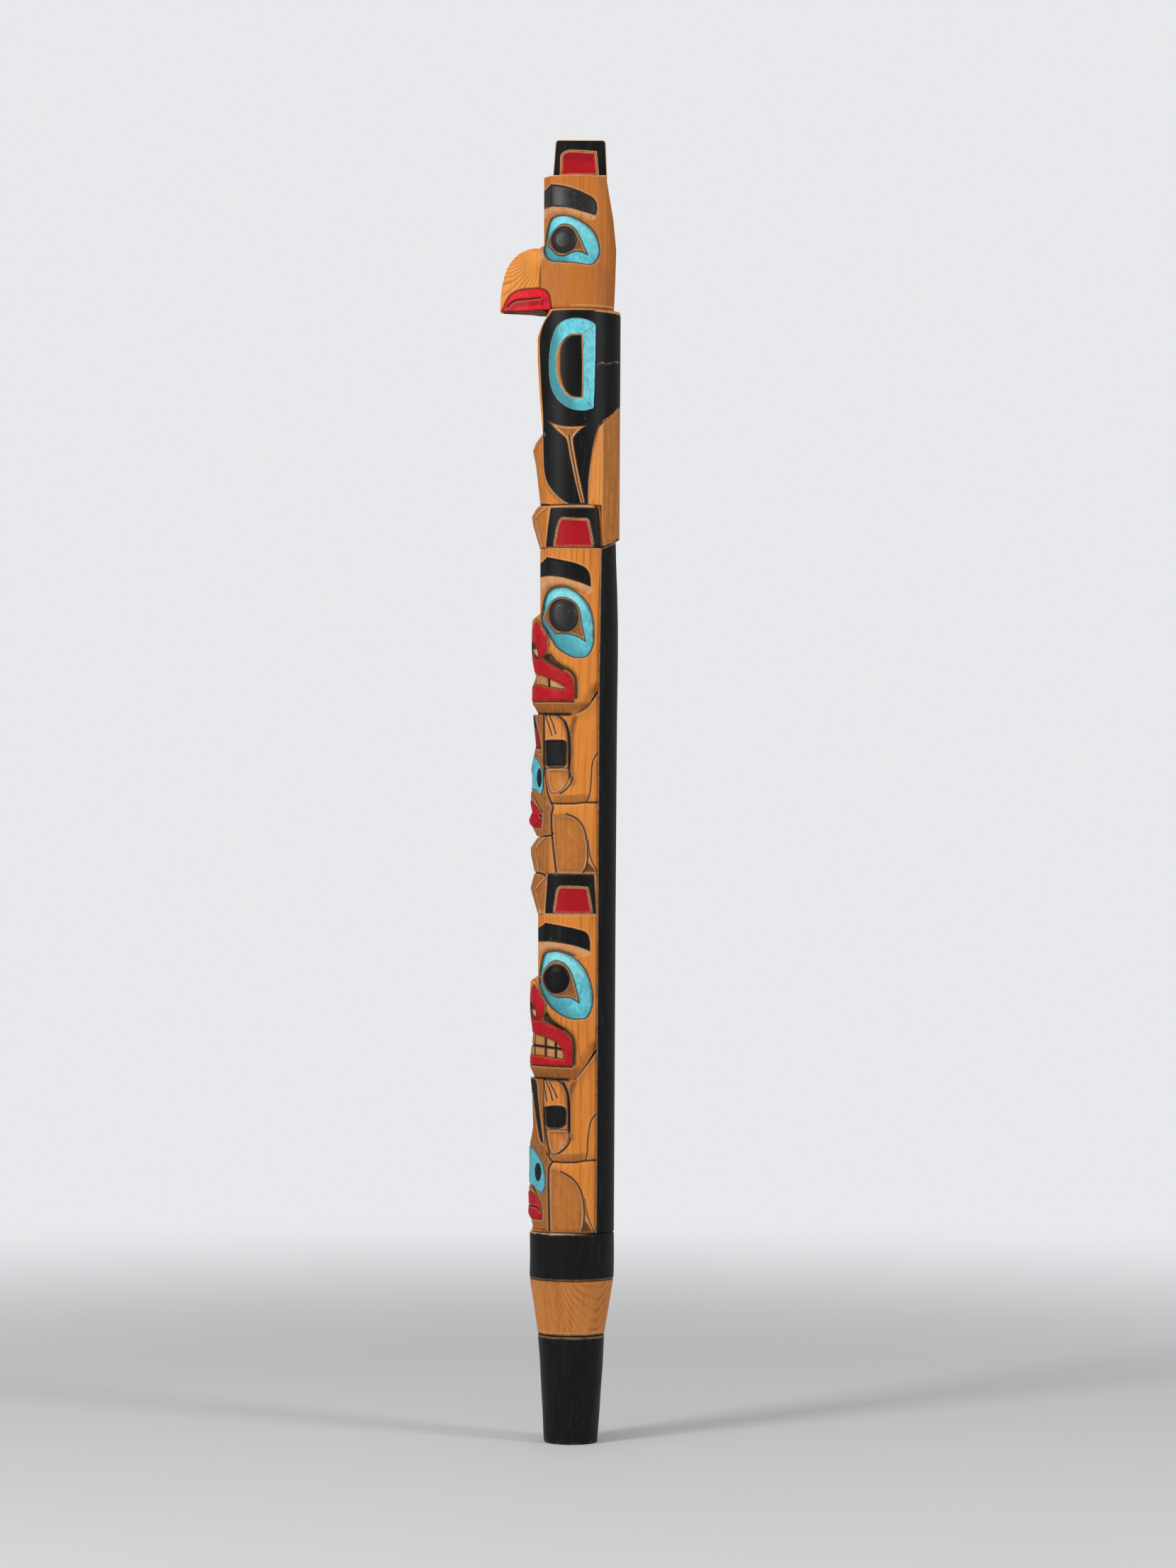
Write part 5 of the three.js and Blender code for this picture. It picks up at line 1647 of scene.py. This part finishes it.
class STAFF_OT_spine(bpy.types.Operator):
    """Plane the black strip of the log's own surface down the back"""
    bl_idname = "staff.spine"
    bl_label = "Back spine"

    def execute(self, context):
        low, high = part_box("back_spine")
        bottom, top = low.z / MM, high.z / MM
        step = detail() * 2
        spine_round = by_level(SPINE_ROUND)
        slope_behind = [side_place(850.5, 772), side_place(873, 759.3)]
        slope_up = [top, level(759.3) - 1.2]

        def shape(around, share):
            up = bottom + (top - bottom) * share
            radius = np.interp(up, *spine_round)
            front = np.interp(up, *SEAT)
            half = np.arccos(front / radius)
            arc = np.clip(around, -0.5, 0.5) * 2 * half
            chord = np.clip((np.abs(around) - 0.5) * 2, 0, 1)
            x = radius * np.sin(arc) * np.where(chord > 0, 1 - chord, 1)
            y = np.where(chord > 0, front, radius * np.cos(arc))
            up = up + share ** 30 * (np.interp(y, slope_behind, slope_up) - top)
            edge = bump((half * radius - np.abs(arc) * radius) / 0.5)
            layer = np.zeros((len(x), 4))
            layer[:, 1] = np.where(chord > 0, 0.85, 0.8 * edge)
            layer[:, 1] = np.maximum(layer[:, 1], 0.5 * ease((share - 0.9985) / 0.001))
            return np.stack((x, y, up), axis=-1) * MM, layer

        arc = np.linspace(-0.5, 0.5, int(60 / step) * 2)
        arc = np.concatenate(([-0.4999], arc[1:-1], [0.4999]))
        back = np.linspace(0.5, 1.0, 8)
        around = np.concatenate((-back[::-1], arc[1:-1], back))
        rows = int((top - bottom) / (step * 1.2))
        piece = tube("back_spine", around, np.linspace(0, 1, rows), shape)
        complete(piece, black_paint(), ["back_spine"], angle=35)
        return {"FINISHED"}


class STAFF_OT_ear_block(bpy.types.Operator):
    """Saw the eagle's ear block and let a red inset into each side"""
    bl_idname = "staff.ear_block"
    bl_label = "Eagle ear block"

    def execute(self, context):
        low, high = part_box("eagle_ear_block")
        half, bottom, top = high.x / MM, low.z / MM, high.z / MM
        deselect()
        bpy.ops.mesh.primitive_cube_add(size=1)
        piece = bpy.context.object
        mesh = piece.data
        piece.name = mesh.name = "eagle_ear_block"
        x, y, z = coordinates(piece).T
        front, back = (
            np.where(z > 0, *(side_place(*place) for place in EAR_BLOCK[key]))
            for key in ("front", "back"))
        move(piece, MM * np.stack((
            np.sign(x) * (half - 0.3), np.where(y < 0, front, back), np.where(z > 0, top, bottom),
        ), axis=-1))
        mesh.materials.append(black_paint())
        mesh.materials.append(wood("Worn edge", (0.86, 0.52, 0.24), (0.5, 0.24, 0.08), 0.3))
        bpy.ops.object.mode_set(mode="EDIT")
        bpy.ops.mesh.select_mode(type="EDGE")
        bpy.ops.mesh.select_all(action="DESELECT")
        bpy.ops.object.mode_set(mode="OBJECT")
        for edge in mesh.edges:
            a, b = (mesh.vertices[i].co for i in edge.vertices)
            edge.select = min(a.z, b.z) > (top - 1) * MM and abs(a.x - b.x) > 1 * MM
        bpy.ops.object.mode_set(mode="EDIT")
        bpy.ops.mesh.bevel(offset=EAR_BLOCK["corner"] * MM, segments=6, affect="EDGES")
        bpy.ops.mesh.select_all(action="DESELECT")
        bpy.ops.mesh.edges_select_sharp(sharpness=math.radians(40))
        bpy.ops.mesh.bevel(offset=EAR_BLOCK["edge"] * MM, segments=2, affect="EDGES", material=1)
        bpy.ops.object.mode_set(mode="OBJECT")
        paint_layer(piece, np.zeros((len(mesh.vertices), 4)))
        complete(piece, black_paint(), ["eagle_ear_block"], angle=30)
        self.insets(Flat(half))
        return {"FINISHED"}

    def insets(self, flat):
        """The red insets with their wooden rims, seated on the block's sides"""
        outline = EAR_BLOCK["inset"]

        def carve(c):
            away = c.to(outline)
            darker = 0.25 + 0.5 * ease(c.above(233) / 5)
            c.stain_and_shading(dark=0.95 * bump(away, 0.8, 0.22), pale=0.9 * bump(away, 1.35, 0.3),
                    brown=0.7 * ease((1.9 - away) / 0.3), red=darker * ease((-away - 0.3) / 0.5))
            c.stain_and_shading(pale=0.7 * bump(away, 0.3, 0.3))
            c.height -= 0.2 * ease(-away / 0.5)

        rim = inlay("eagle_ear_rim_left", flat, carve, [outline], inset=-1.7, thick=0.8,
                    proud=0.02, step=0.5)
        red = inlay("eagle_ear_inset_left", flat, carve, [outline], thick=0.5, proud=0.12,
                    step=0.8)
        rims = rim, other_side(rim, "eagle_ear_rim_right")
        reds = red, other_side(red, "eagle_ear_inset_right")
        for rim, red, side in zip(rims, reds, ("left", "right")):
            complete(red, red_paint(), [f"eagle_ear_inset_{side}"])
            complete(rim, cedar(), [])


class STAFF_OT_eagle_head(bpy.types.Operator):
    """Carve the eagle's head and paint its brows, eye sockets and pupils"""
    bl_idname = "staff.eagle_head"
    bl_label = "Eagle head"

    def execute(self, context):
        skin = SKINS["eagle_head"]
        colors = context.scene.staff_finish
        material = wood("Eagle cedar", colors.eagle_light, colors.eagle_deep, 0.35,
                        (0.09, 0.07, 0.0), (1.0, 1.0, 0.03), 0.0021)
        head = carved_tube("eagle_head", skin, carve_eagle_head, level_edge(EAGLE["top_row"]),
                           level_edge(EAGLE["low_row"]))
        complete(head, material, ["eagle_head"])
        paint_eye("eagle", skin, carve_eagle_head, EAGLE)
        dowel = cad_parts["beak_dowel"]
        dowel.data.materials.clear()
        dowel.data.materials.append(wood(
            "Dowel wood", colors.dowel_light, colors.cedar_light, 0.3, across=(1.0, 0.05, 1.0),
        ))
        return {"FINISHED"}


def paint_eye(stem, skin, carve, face):
    """The painted brow, socket and pupil on both sides of a head"""
    brow = sheen_black_paint() if stem == "eagle" else black_paint()
    inlay_pair(f"{stem}_brow", brow, BLACK_SLOT, skin, carve, [face["brow"]])
    inlay_pair(f"{stem}_eye_socket", turquoise_paint(), BLUE_SLOT, skin, carve, [face["socket"]],
               gaps=[(face["eyelid"], 0.05)], inset=0.3)
    pupil = black_paint() if stem == "lower_bear" else sheen_black_paint()
    inlay_pair(f"{stem}_pupil", pupil, BLACK_SLOT, skin, carve, [face["pupil"]])


class STAFF_OT_beak(bpy.types.Operator):
    """Carve the glued-on beak and paint the mouth that runs from it on to the cheek"""
    bl_idname = "staff.beak"
    bl_label = "Beak and mouth"

    def execute(self, context):
        colors = context.scene.staff_finish
        joint, tip = side_place(762, 438), side_place(705.5, 438)
        flat = Flat(0.0)
        outline = flat.line(BEAK["outline"])
        upper = outline[(outline[:, 1] > level(437)) & (outline[:, 0] < joint - 0.3)]
        beak_top = upper[np.argsort(upper[:, 0])].T

        def half_width(behind, up):
            ahead = np.clip((joint - behind) / (joint - tip), 0, 1)
            root = 15.0 - 10.3 * ahead ** 0.85 + 4.0 * (1 - ease((joint - behind) / 9))
            ridge = 7.6 - 4.4 * ahead
            edge = np.clip((np.interp(behind, *beak_top) - up) / 13.0, 0, 1)
            wide = ridge + (root - ridge) * np.sqrt(np.clip(1 - (1 - edge) ** 2, 0, 1))
            return np.minimum(wide, root)

        def cheek(behind):
            wide, deep = EAGLE_HEAD_ROUND
            return np.maximum(wide * np.sin(np.arccos(np.clip(-behind / deep, -1, 1))), CHEEK)

        def relief(c):
            mouth = c.to(BEAK["mouth"])
            slit = c.to(BEAK["slit"], False, 5.0)
            c.height += np.where(c.around < joint, half_width(c.around, c.up), cheek(c.around))
            c.sink(mouth, 0.4, 0.5)
            c.height -= 0.9 * bump(slit, 0, 0.8) * ease((0.4 - mouth) / 0.4)
            c.stain_and_shading(dark=bump(slit, 0, 0.75) * ease((0.2 - mouth) / 0.4), red=ease(-slit - 0.7),
                    pale=0.8 * bump(slit, -1.1, 0.4) * ease((-0.8 - mouth) / 0.4))
            # A dark band round the mouth: its cut line and a painted shadow of its sunk edge
            c.stain_and_shading(dark=0.9 * bump(mouth, 0.3, 0.55))
            bare = ease((mouth - 0.3) / 0.5)
            ahead, above = c.beyond(*BEAK["fan"])
            angle = np.degrees(np.arctan2(-above, -ahead))
            reach = np.hypot(ahead, above)
            turned = angle + 0.3 * reach + 5 * ease((reach - 22) / 10) * ease((48 - angle) / 12)
            lines = np.abs((turned / 6.6) % 1 - 0.5) * 2
            thin = ease((lines - (0.5 + 0.3 * ease(1 - reach / 16))) / 0.35)
            near = ease((reach - 3) / 6) * ease((angle + 6) / 8) * bare * ease(c.above(420) / 5)
            c.height -= 0.14 * thin * near
            c.stain_and_shading(dark=(0.5 - 0.12 * ease((reach - 14) / 12)) * thin * near,
                    pale=0.7 * bump(c.around, joint - 0.2, 0.6) * ease(c.above(372) / 8) * bare)
            c.stain_and_shading(dark=0.9 * bump(c.around, joint, 0.5) * ease(-c.above(373) / 8) * bare)
            c.cover(mouth)

        beak = self.sheet(flat, relief, outline)
        complete(beak, wood("Beak cedar", colors.beak_light, colors.beak_deep, 0.15,
                            (0.0, -0.012, 0.80), (0.3, 1.0, 1.0), 0.0026), ["beak"])
        inlay_pair("eagle_mouth", bright_red_paint(), RED_SLOT, flat, relief, [BEAK["mouth"]],
                   proud=0.06, step=detail())
        return {"FINISHED"}

    def sheet(self, flat, relief, outline):
        """Both sides of the beak from one sheet, joined round its outline"""
        places, faces = fill([outline], [], lambda x, y: measure(x, y, outline), detail())
        behind, up = places.T
        c = Carving(flat, behind, up)
        relief(c)
        free = ease((outline[:, 0].max() - behind - 0.15) / 0.6)
        wide = c.bedded(0.9) - 0.5 * ease(1 + measure(behind, up, outline) / 0.7) * free
        piece = build("beak", np.column_stack((wide, places)) * MM, faces, c.finish())
        other_side(piece, "beak_twin").select_set(True)
        bpy.ops.object.join()
        bpy.ops.object.mode_set(mode="EDIT")
        bpy.ops.mesh.select_mode(type="EDGE")
        bpy.ops.mesh.select_all(action="DESELECT")
        bpy.ops.mesh.select_non_manifold()
        bpy.ops.mesh.bridge_edge_loops(number_cuts=6)
        end_editing()
        return piece


class STAFF_OT_eagle_body(bpy.types.Operator):
    """Carve the eagle's chest, legs and feet, lay on its wings and seat its tail"""
    bl_idname = "staff.eagle_body"
    bl_label = "Eagle body, wings and tail"

    def execute(self, context):
        skin, tail_skin = SKINS["eagle_body"], SKINS["eagle_tail"]
        over_tail = drawn_edge(tail_skin, TAIL_FOOT, 0.3)
        tail_start = tail_skin.line(TAIL_FOOT, False)[:, 0].min() + 8
        floor = level(773.7)

        def bottom(around):
            return np.where(np.asarray(around) > tail_start,
                            np.maximum(over_tail(around), floor), floor)

        body = carved_tube(
            "eagle_body", skin, carve_eagle_body, level_edge(438.3), bottom,
            step=detail() * 1.1, fine_to=58.0,
        )
        complete(body, cedar(), ["eagle_body"])
        inlay_pair("eagle_wing", black_paint(), BLACK_SLOT, skin, carve_eagle_body,
                   [WING["wing"]], gaps=[(WING["ring"], 0.1), (WING["split"], 0.05)],
                   islands=[WING["core"]], step=detail() * 1.8)
        inlay_pair("eagle_wing_ring", turquoise_paint(), BLUE_SLOT, skin, carve_eagle_body,
                   [WING["ring"]], gaps=[(WING["hole"], 0.0)], inset=0.25)
        self.tail(context.scene.staff_finish, tail_skin)
        return {"FINISHED"}

    def tail(self, colors, skin):
        """The tail: a flat-sided block behind the wings' lower edges"""
        upper = skin.line(TAIL_TOP, False)
        upper = upper[np.argsort(upper[:, 0])].T
        foot = drawn_edge(skin, TAIL_FOOT, 0.1)
        start, half = upper[0, 0], math.pi * UNROLL
        ridge = skin.unroll([(850, 690)])[0][0]
        step = detail() * 1.4
        right = np.linspace(start, half, int((half - start) / step))
        around = np.concatenate((right, 2 * half - right[-2::-1]))

        def shape(place, share):
            side = np.where(place > half, 2 * half - place, place)
            high = np.interp(side, *upper) - 0.15
            low = np.minimum(foot(side), high - 0.3)
            inner, outer = np.clip((share - 0.5) * 2, 0, 1), np.clip(share * 2, 0, 1)
            up = low + (high - low) * np.where(share > 0.5, 1 - inner, outer)
            turn = place / UNROLL
            reach = skin.radius(turn, up) + np.where(share > 0.5, -2.2, 0.0)
            dark, pale, brown, _ = layer = np.zeros((4, len(place)))
            # Painted shadow along the top edge under the wing, along the front edge and at the
            # foot; a painted highlight on the ridge between the flats and a pale band under the
            # top; the flat behind the ridge browner as painted shade, turned from the light
            dark += 0.6 * ease(1 - (up - low)) + 0.7 * bump(high - up, 0.2, 0.6)
            dark[:] = np.maximum(dark, 0.75 * bump(side, start, 0.9))
            pale[:] = np.maximum(0.45 * bump(side, ridge, 0.6), 0.4 * bump(high - up, 1.5, 0.7))
            brown += 0.6 * ease(side - ridge)
            return np.stack((reach * np.sin(turn), -reach * np.cos(turn), up), -1) * MM, layer.T

        share = np.concatenate((np.linspace(0, 0.5, int(70 / step)), np.linspace(0.5001, 1, 14)))
        piece = tube("eagle_tail", around, share, shape)
        complete(piece, wood("Tail cedar", colors.tail_light, colors.tail_deep, 0.7,
                             (0.02, 0.1, 0.0)), ["eagle_tail"], angle=25)


BEARS = {
    "upper": (UPPER, UPPER_BODY, UPPER_FACE), "lower": (LOWER, LOWER_BODY, LOWER_FACE),
}


class STAFF_OT_bear_heads(bpy.types.Operator):
    """Carve both bears' heads and paint their eyes and lips"""
    bl_idname = "staff.bear_heads"
    bl_label = "Bear heads"

    def execute(self, context):
        for which, (head, _, _) in BEARS.items():
            skin = SKINS[f"{which}_head"]
            carve = partial(carve_head, head=head)
            piece = carved_tube(
                f"{which}_bear_head", skin, carve, level_edge(head["top_row"]),
                drawn_edge(skin, head["jaw"], SEAM), fine_to=66.0,
            )
            complete(piece, cedar(), [f"{which}_bear_head"])
            paint_eye(f"{which}_bear", skin, carve, head)
            lips = inlay(f"{which}_bear_lips", skin, carve, [head["lips"]],
                         gaps=[(head["nostril"], 0.0)], across=True)
            complete(lips, red_paint(), [f"{which}_bear_lips"])
        return {"FINISHED"}


class STAFF_OT_bear_torsos(bpy.types.Operator):
    """Carve both bears' arms, hands, legs and feet, and paint the pads of the paws"""
    bl_idname = "staff.bear_torsos"
    bl_label = "Bear torsos"

    def execute(self, context):
        for which, carve in (("upper", carve_upper_torso), ("lower", carve_lower_torso)):
            _, body, _ = BEARS[which]
            skin = SKINS[f"{which}_torso"]
            piece = carved_tube(
                f"{which}_bear_torso", skin, carve, drawn_edge(skin, body["jaw"], -SEAM),
                level_edge(body["low_row"]), fine_to=66.0,
            )
            complete(piece, cedar(), [f"{which}_bear_torso"])
            inlay_pair(f"{which}_bear_paw_pad", black_paint(), BLACK_SLOT, skin, carve,
                       [body["pad"]])
        return {"FINISHED"}


class STAFF_OT_bear_ears(bpy.types.Operator):
    """Paint the ears that stand on the figure above each head"""
    bl_idname = "staff.bear_ears"
    bl_label = "Bear ears"

    def execute(self, context):
        for which, skin, carve, ear in (
            ("upper", SKINS["eagle_body"], carve_eagle_body, UPPER_EAR),
            ("lower", SKINS["upper_torso"], carve_upper_torso, LOWER_EAR),
        ):
            inlay_pair(f"{which}_bear_ear", black_paint(), BLACK_SLOT, skin, carve,
                       [ear["ear"]], gaps=[(ear["inset"], 1.6)], proud=0.1)
            inlay_pair(f"{which}_bear_ear_inset", red_paint(), RED_SLOT, skin, carve,
                       [ear["inset"]])
        return {"FINISHED"}


class STAFF_OT_small_faces(bpy.types.Operator):
    """Carve the small faces that look out between the bears' hands"""
    bl_idname = "staff.small_faces"
    bl_label = "Small faces"

    def execute(self, context):
        colors = context.scene.staff_finish
        material = wood("Face cedar", colors.face_light, colors.face_deep, 0.5)
        for which, (_, _, face) in BEARS.items():
            name, skin = f"{which}_bear_small_face", SKINS[f"{which}_face"]
            carve = partial(carve_small_face, face=face)
            complete(self.mask(which, skin, carve, face), material, [name])
            eyes = inlay(f"{name}_eyes", skin, self.with_pupil(carve, face), [face["eyes"]],
                         inset=0.2, across=True, step=detail() * 0.8)
            complete(eyes, turquoise_paint(), [f"{name}_eyes"])
            lips = inlay(f"{name}_lips", skin, carve, [face["lips"]], across=True)
            complete(lips, red_paint(), [f"{name}_lips"])
        return {"FINISHED"}

    def with_pupil(self, carve, face):
        column, row, half_columns, half_rows = face["pupil"]
        turns = np.linspace(0, 2 * math.pi, 28, endpoint=False)
        outline = [(column + half_columns * math.cos(t), row + half_rows * math.sin(t))
                   for t in turns]

        def painted(c):
            carve(c)
            c.stain_and_shading(dark=ease((0.2 - c.to(outline)) / 0.35))

        return painted

    def mask(self, which, skin, carve, face):
        """A carved front that ends in a flat back before the torso"""
        step = detail()
        top, bottom = level(face["top_row"]), level(face["low_row"])
        torso = SKINS[f"{which}_torso"]

        def back_at(up):
            """The torso's front face, in millimetres from the axis"""
            return np.interp(np.maximum(up, bottom + 1.5), *torso.front)

        def edge(up):
            """Distance round at which the mask meets its flat back"""
            back = back_at(up)
            low, high = np.zeros(up.shape), np.full(up.shape, math.pi / 2)
            for _ in range(22):
                middle = (low + high) / 2
                ahead = skin.radius(middle, up) * np.cos(middle) > -back - 0.35
                low, high = np.where(ahead, middle, low), np.where(ahead, high, middle)
            return low * UNROLL

        def shape(share, tall):
            up = bottom + (top - bottom) * tall
            around = np.clip(share, -1, 1) * edge(up)
            c = Carving(skin, around, up)
            carve(c)
            places = skin.place(around, up, c.bedded(1.0))
            rear = np.abs(share) > 1
            flat = skin.place(np.sign(share) * edge(up), up, 0.0)
            places[rear] = flat[rear]
            places[rear, 0] *= np.clip(2 - np.abs(share[rear]), 0, 1)
            places[rear, 1] = (back_at(up[rear]) - 0.1) * MM
            return places, c.finish()

        front = np.linspace(0, 1, int(math.ceil(28 / step)))
        around = both_ways(np.append(front, np.linspace(1.05, 2, 9)))
        tall = np.linspace(0, 1, int((top - bottom) / step))
        return tube(f"{which}_bear_small_face", around, tall, shape)


class STAFF_OT_stage(bpy.types.Operator):
    """Lay the floor and set up the camera and the lamps"""
    bl_idname = "staff.stage"
    bl_label = "Floor, camera and lamps"

    def execute(self, context):
        stage = context.scene.staff_stage
        deselect()
        bpy.ops.mesh.primitive_plane_add(size=14, location=(0, 0, 0))
        floor = context.object
        floor.name = "floor"
        material, w, surface = start_finish("Pale floor")
        place = w.add("TexCoord").outputs["Object"]
        shade = w.span(w.noise(place, 3.0, 2.0), 0.3, 0.7, 0.985, 1.0)
        w.feed(surface["Base Color"], w.shaded((*stage.floor_color, 1), shade))
        w.feed(surface["Roughness"], 0.7)
        flat = w.vector("MULTIPLY", place, (1, 1, 0))[0]
        away = w.span(w.vector("LENGTH", flat)["Value"], 0.45, 1.9)
        fade = w.times(away, w.add("LightPath").outputs["Is Camera Ray"])
        glow = w.add("Emission", {"Color": (*stage.backdrop_color, 1)}).outputs[0]
        nodes = material.node_tree.nodes
        both = w.add("MixShader", {0: fade, 1: nodes["Principled BSDF"].outputs[0], 2: glow})
        w.feed(nodes["Material Output"].inputs["Surface"], both.outputs[0])
        floor.data.materials.append(material)
        self.camera(context, stage)
        self.lamps(context, stage)
        context.scene.view_settings.view_transform = "Standard"
        return {"FINISHED"}

    def camera(self, context, stage):
        """Looks level along -X, at the height of the horizon in the drawing"""
        data = bpy.data.cameras.new("camera")
        data.sensor_fit = "VERTICAL"
        data.sensor_height = SENSOR_HEIGHT
        focal_pixels = PIXELS_PER_METRE * (stage.distance - NEAR_SIDE * MM)
        data.lens = focal_pixels / DRAWING_ROWS * SENSOR_HEIGHT
        data.shift_y = (stage.horizon_row - MIDDLE_ROW) / DRAWING_ROWS
        camera = bpy.data.objects.new("camera", data)
        context.scene.collection.objects.link(camera)
        middle = side_place(MIDDLE_COLUMN, MIDDLE_ROW) * MM
        camera.location = (stage.distance, middle, level(stage.horizon_row) * MM)
        camera.rotation_euler = Euler((math.radians(90), 0, math.radians(90)), "XYZ")
        camera.rotation_euler.rotate_axis("Z", AXIS_LEAN)
        context.scene.camera = camera

    def lamps(self, context, stage):
        world = bpy.data.worlds.new("studio")
        context.scene.world = world
        world.use_nodes = True
        w = Wiring(world.node_tree)
        back = world.node_tree.nodes["Background"].inputs
        seen = w.add("LightPath").outputs["Is Camera Ray"]
        w.feed(back["Color"], w.mix(seen, (0.92, 0.95, 1.0, 1), (*stage.backdrop_color, 1)))
        w.feed(back["Strength"], w.plus(w.times(seen, 1 - stage.room_light), stage.room_light))
        for name, place, size, power in (
            ("left front lamp", (1.6, -1.6, 1.35), 0.5, stage.left_power),
            ("right front lamp", (1.2, 1.8, 1.25), 0.5, stage.right_power),
            ("top lamp", (0.5, -0.3, 2.4), 0.8, stage.top_power),
        ):
            data = bpy.data.lights.new(name, "AREA")
            data.size = size
            data.energy = power
            lamp = bpy.data.objects.new(name, data)
            context.scene.collection.objects.link(lamp)
            lamp.location = place
            aim = Vector((0, 0, 0.5)) - Vector(place)
            lamp.rotation_euler = aim.to_track_quat("-Z", "Y").to_euler()


# Values that a user would change
class StaffCarving(bpy.types.PropertyGroup):
    detail: FloatProperty(
        name="Detail", description="Spacing of the carved surface's points", default=0.5 * MM,
        min=0.3 * MM, max=3 * MM, unit="LENGTH", subtype="DISTANCE", precision=5,
    )
    tool_marks: FloatProperty(
        name="Tool marks", description="Height of the unevenness that the knife leaves",
        default=0.05 * MM, min=0.0, max=0.5 * MM, unit="LENGTH", subtype="DISTANCE", precision=5,
    )


def color_property(name, description, default):
    return FloatVectorProperty(
        name=name, description=description, default=default, size=3, min=0, max=1,
        subtype="COLOR",
    )


def power_property(name, place, default):
    return FloatProperty(
        name=name, description=f"Power of the lamp {place}", default=default, min=0.0,
        unit="POWER",
    )


class StaffFinish(bpy.types.PropertyGroup):
    cedar_light: color_property("Cedar", "Early wood of the bears", (0.72, 0.242, 0.036))
    cedar_deep: color_property("Cedar lines", "Late wood of the bears", (0.40, 0.105, 0.012))
    eagle_light: color_property("Eagle cedar", "Early wood of the eagle", (0.55, 0.172, 0.025))
    eagle_deep: color_property("Eagle lines", "Late wood of the eagle", (0.30, 0.08, 0.010))
    beak_light: color_property("Beak cedar", "Early wood of the beak", (0.86, 0.31, 0.05))
    beak_deep: color_property("Beak lines", "Late wood of the beak", (0.50, 0.15, 0.02))
    tail_light: color_property("Tail cedar", "Early wood of the tail", (0.82, 0.30, 0.055))
    tail_deep: color_property("Tail lines", "Late wood of the tail", (0.48, 0.15, 0.022))
    grip_light: color_property("Grip cedar", "Early wood of the grip", (0.60, 0.22, 0.05))
    grip_deep: color_property("Grip lines", "Late wood of the grip", (0.34, 0.105, 0.02))
    face_light: color_property("Face cedar", "Early wood of the small faces", (0.36, 0.125, 0.026))
    face_deep: color_property("Face lines", "Late wood of the small faces", (0.20, 0.06, 0.012))
    dowel_light: color_property("Dowel", "Wood of the hidden dowel", (0.62, 0.42, 0.2))
    black: color_property("Black paint", "Foot, spine, band, wings, ears and bears' brows",
                          (0.006, 0.006, 0.006))
    # Lighter black of the carved brows and pupils, partly a painted sheen
    sheen_black: color_property("Sheen black paint", "The eagle's brows and the upper pupils",
                               (0.017, 0.016, 0.015))
    red: color_property("Red paint", "Lips, nostrils, mouths and ear insets",
                        (0.46, 0.006, 0.014))
    bright_red: color_property("Bright red paint", "The eagle's mouth", (0.72, 0.012, 0.022))
    turquoise: color_property("Turquoise paint", "Eye sockets and wing rings",
                              (0.125, 0.56, 0.64))


class StaffStage(bpy.types.PropertyGroup):
    distance: FloatProperty(
        name="Camera distance", description="From the staff's axis to the camera", default=3.1,
        min=0.5, unit="LENGTH", subtype="DISTANCE",
    )
    horizon_row: FloatProperty(
        name="Horizon row", description="Row of the drawing at the camera's height",
        default=1202.0,
    )
    room_light: FloatProperty(
        name="Room light", description="Strength of the light from all round", default=0.4,
        min=0.0,
    )
    left_power: power_property("Left lamp", "at the front left", 30.0)
    right_power: power_property("Right lamp", "at the front right", 17.0)
    top_power: power_property("Top lamp", "overhead", 7.0)
    floor_color: color_property("Floor", "Colour of the floor", (0.70, 0.69, 0.68))
    backdrop_color: color_property("Backdrop", "Colour behind the staff", (0.80, 0.81, 0.83))


OPERATORS = (
    STAFF_OT_stage, STAFF_OT_shaft, STAFF_OT_spine, STAFF_OT_ear_block, STAFF_OT_eagle_head,
    STAFF_OT_beak, STAFF_OT_eagle_body, STAFF_OT_bear_heads, STAFF_OT_bear_torsos,
    STAFF_OT_bear_ears, STAFF_OT_small_faces,
)
GROUPS_OF_VALUES = (
    ("staff_carving", StaffCarving), ("staff_finish", StaffFinish), ("staff_stage", StaffStage),
)


class STAFF_PT_panel(bpy.types.Panel):
    """The staff's pieces and values"""
    bl_idname = "STAFF_PT_panel"
    bl_label = "Speaker staff"
    bl_space_type = "VIEW_3D"
    bl_region_type = "UI"
    bl_category = "Staff"

    def draw(self, context):
        for operator in OPERATORS:
            self.layout.operator(operator.bl_idname)
        for name, values in GROUPS_OF_VALUES:
            box = self.layout.box()
            for key in values.__annotations__:
                box.prop(getattr(context.scene, name), key)


def register():
    for name, values in GROUPS_OF_VALUES:
        bpy.utils.register_class(values)
        setattr(bpy.types.Scene, name, PointerProperty(type=values))
    for item in (*OPERATORS, STAFF_PT_panel):
        bpy.utils.register_class(item)


def unregister():
    for item in reversed((*OPERATORS, STAFF_PT_panel)):
        bpy.utils.unregister_class(item)
    for name, values in reversed(GROUPS_OF_VALUES):
        delattr(bpy.types.Scene, name)
        bpy.utils.unregister_class(values)


def main():
    register()
    for operator in OPERATORS:
        group_name, _, call = operator.bl_idname.partition(".")
        getattr(getattr(bpy.ops, group_name), call)()


if __name__ == "__main__":
    main()
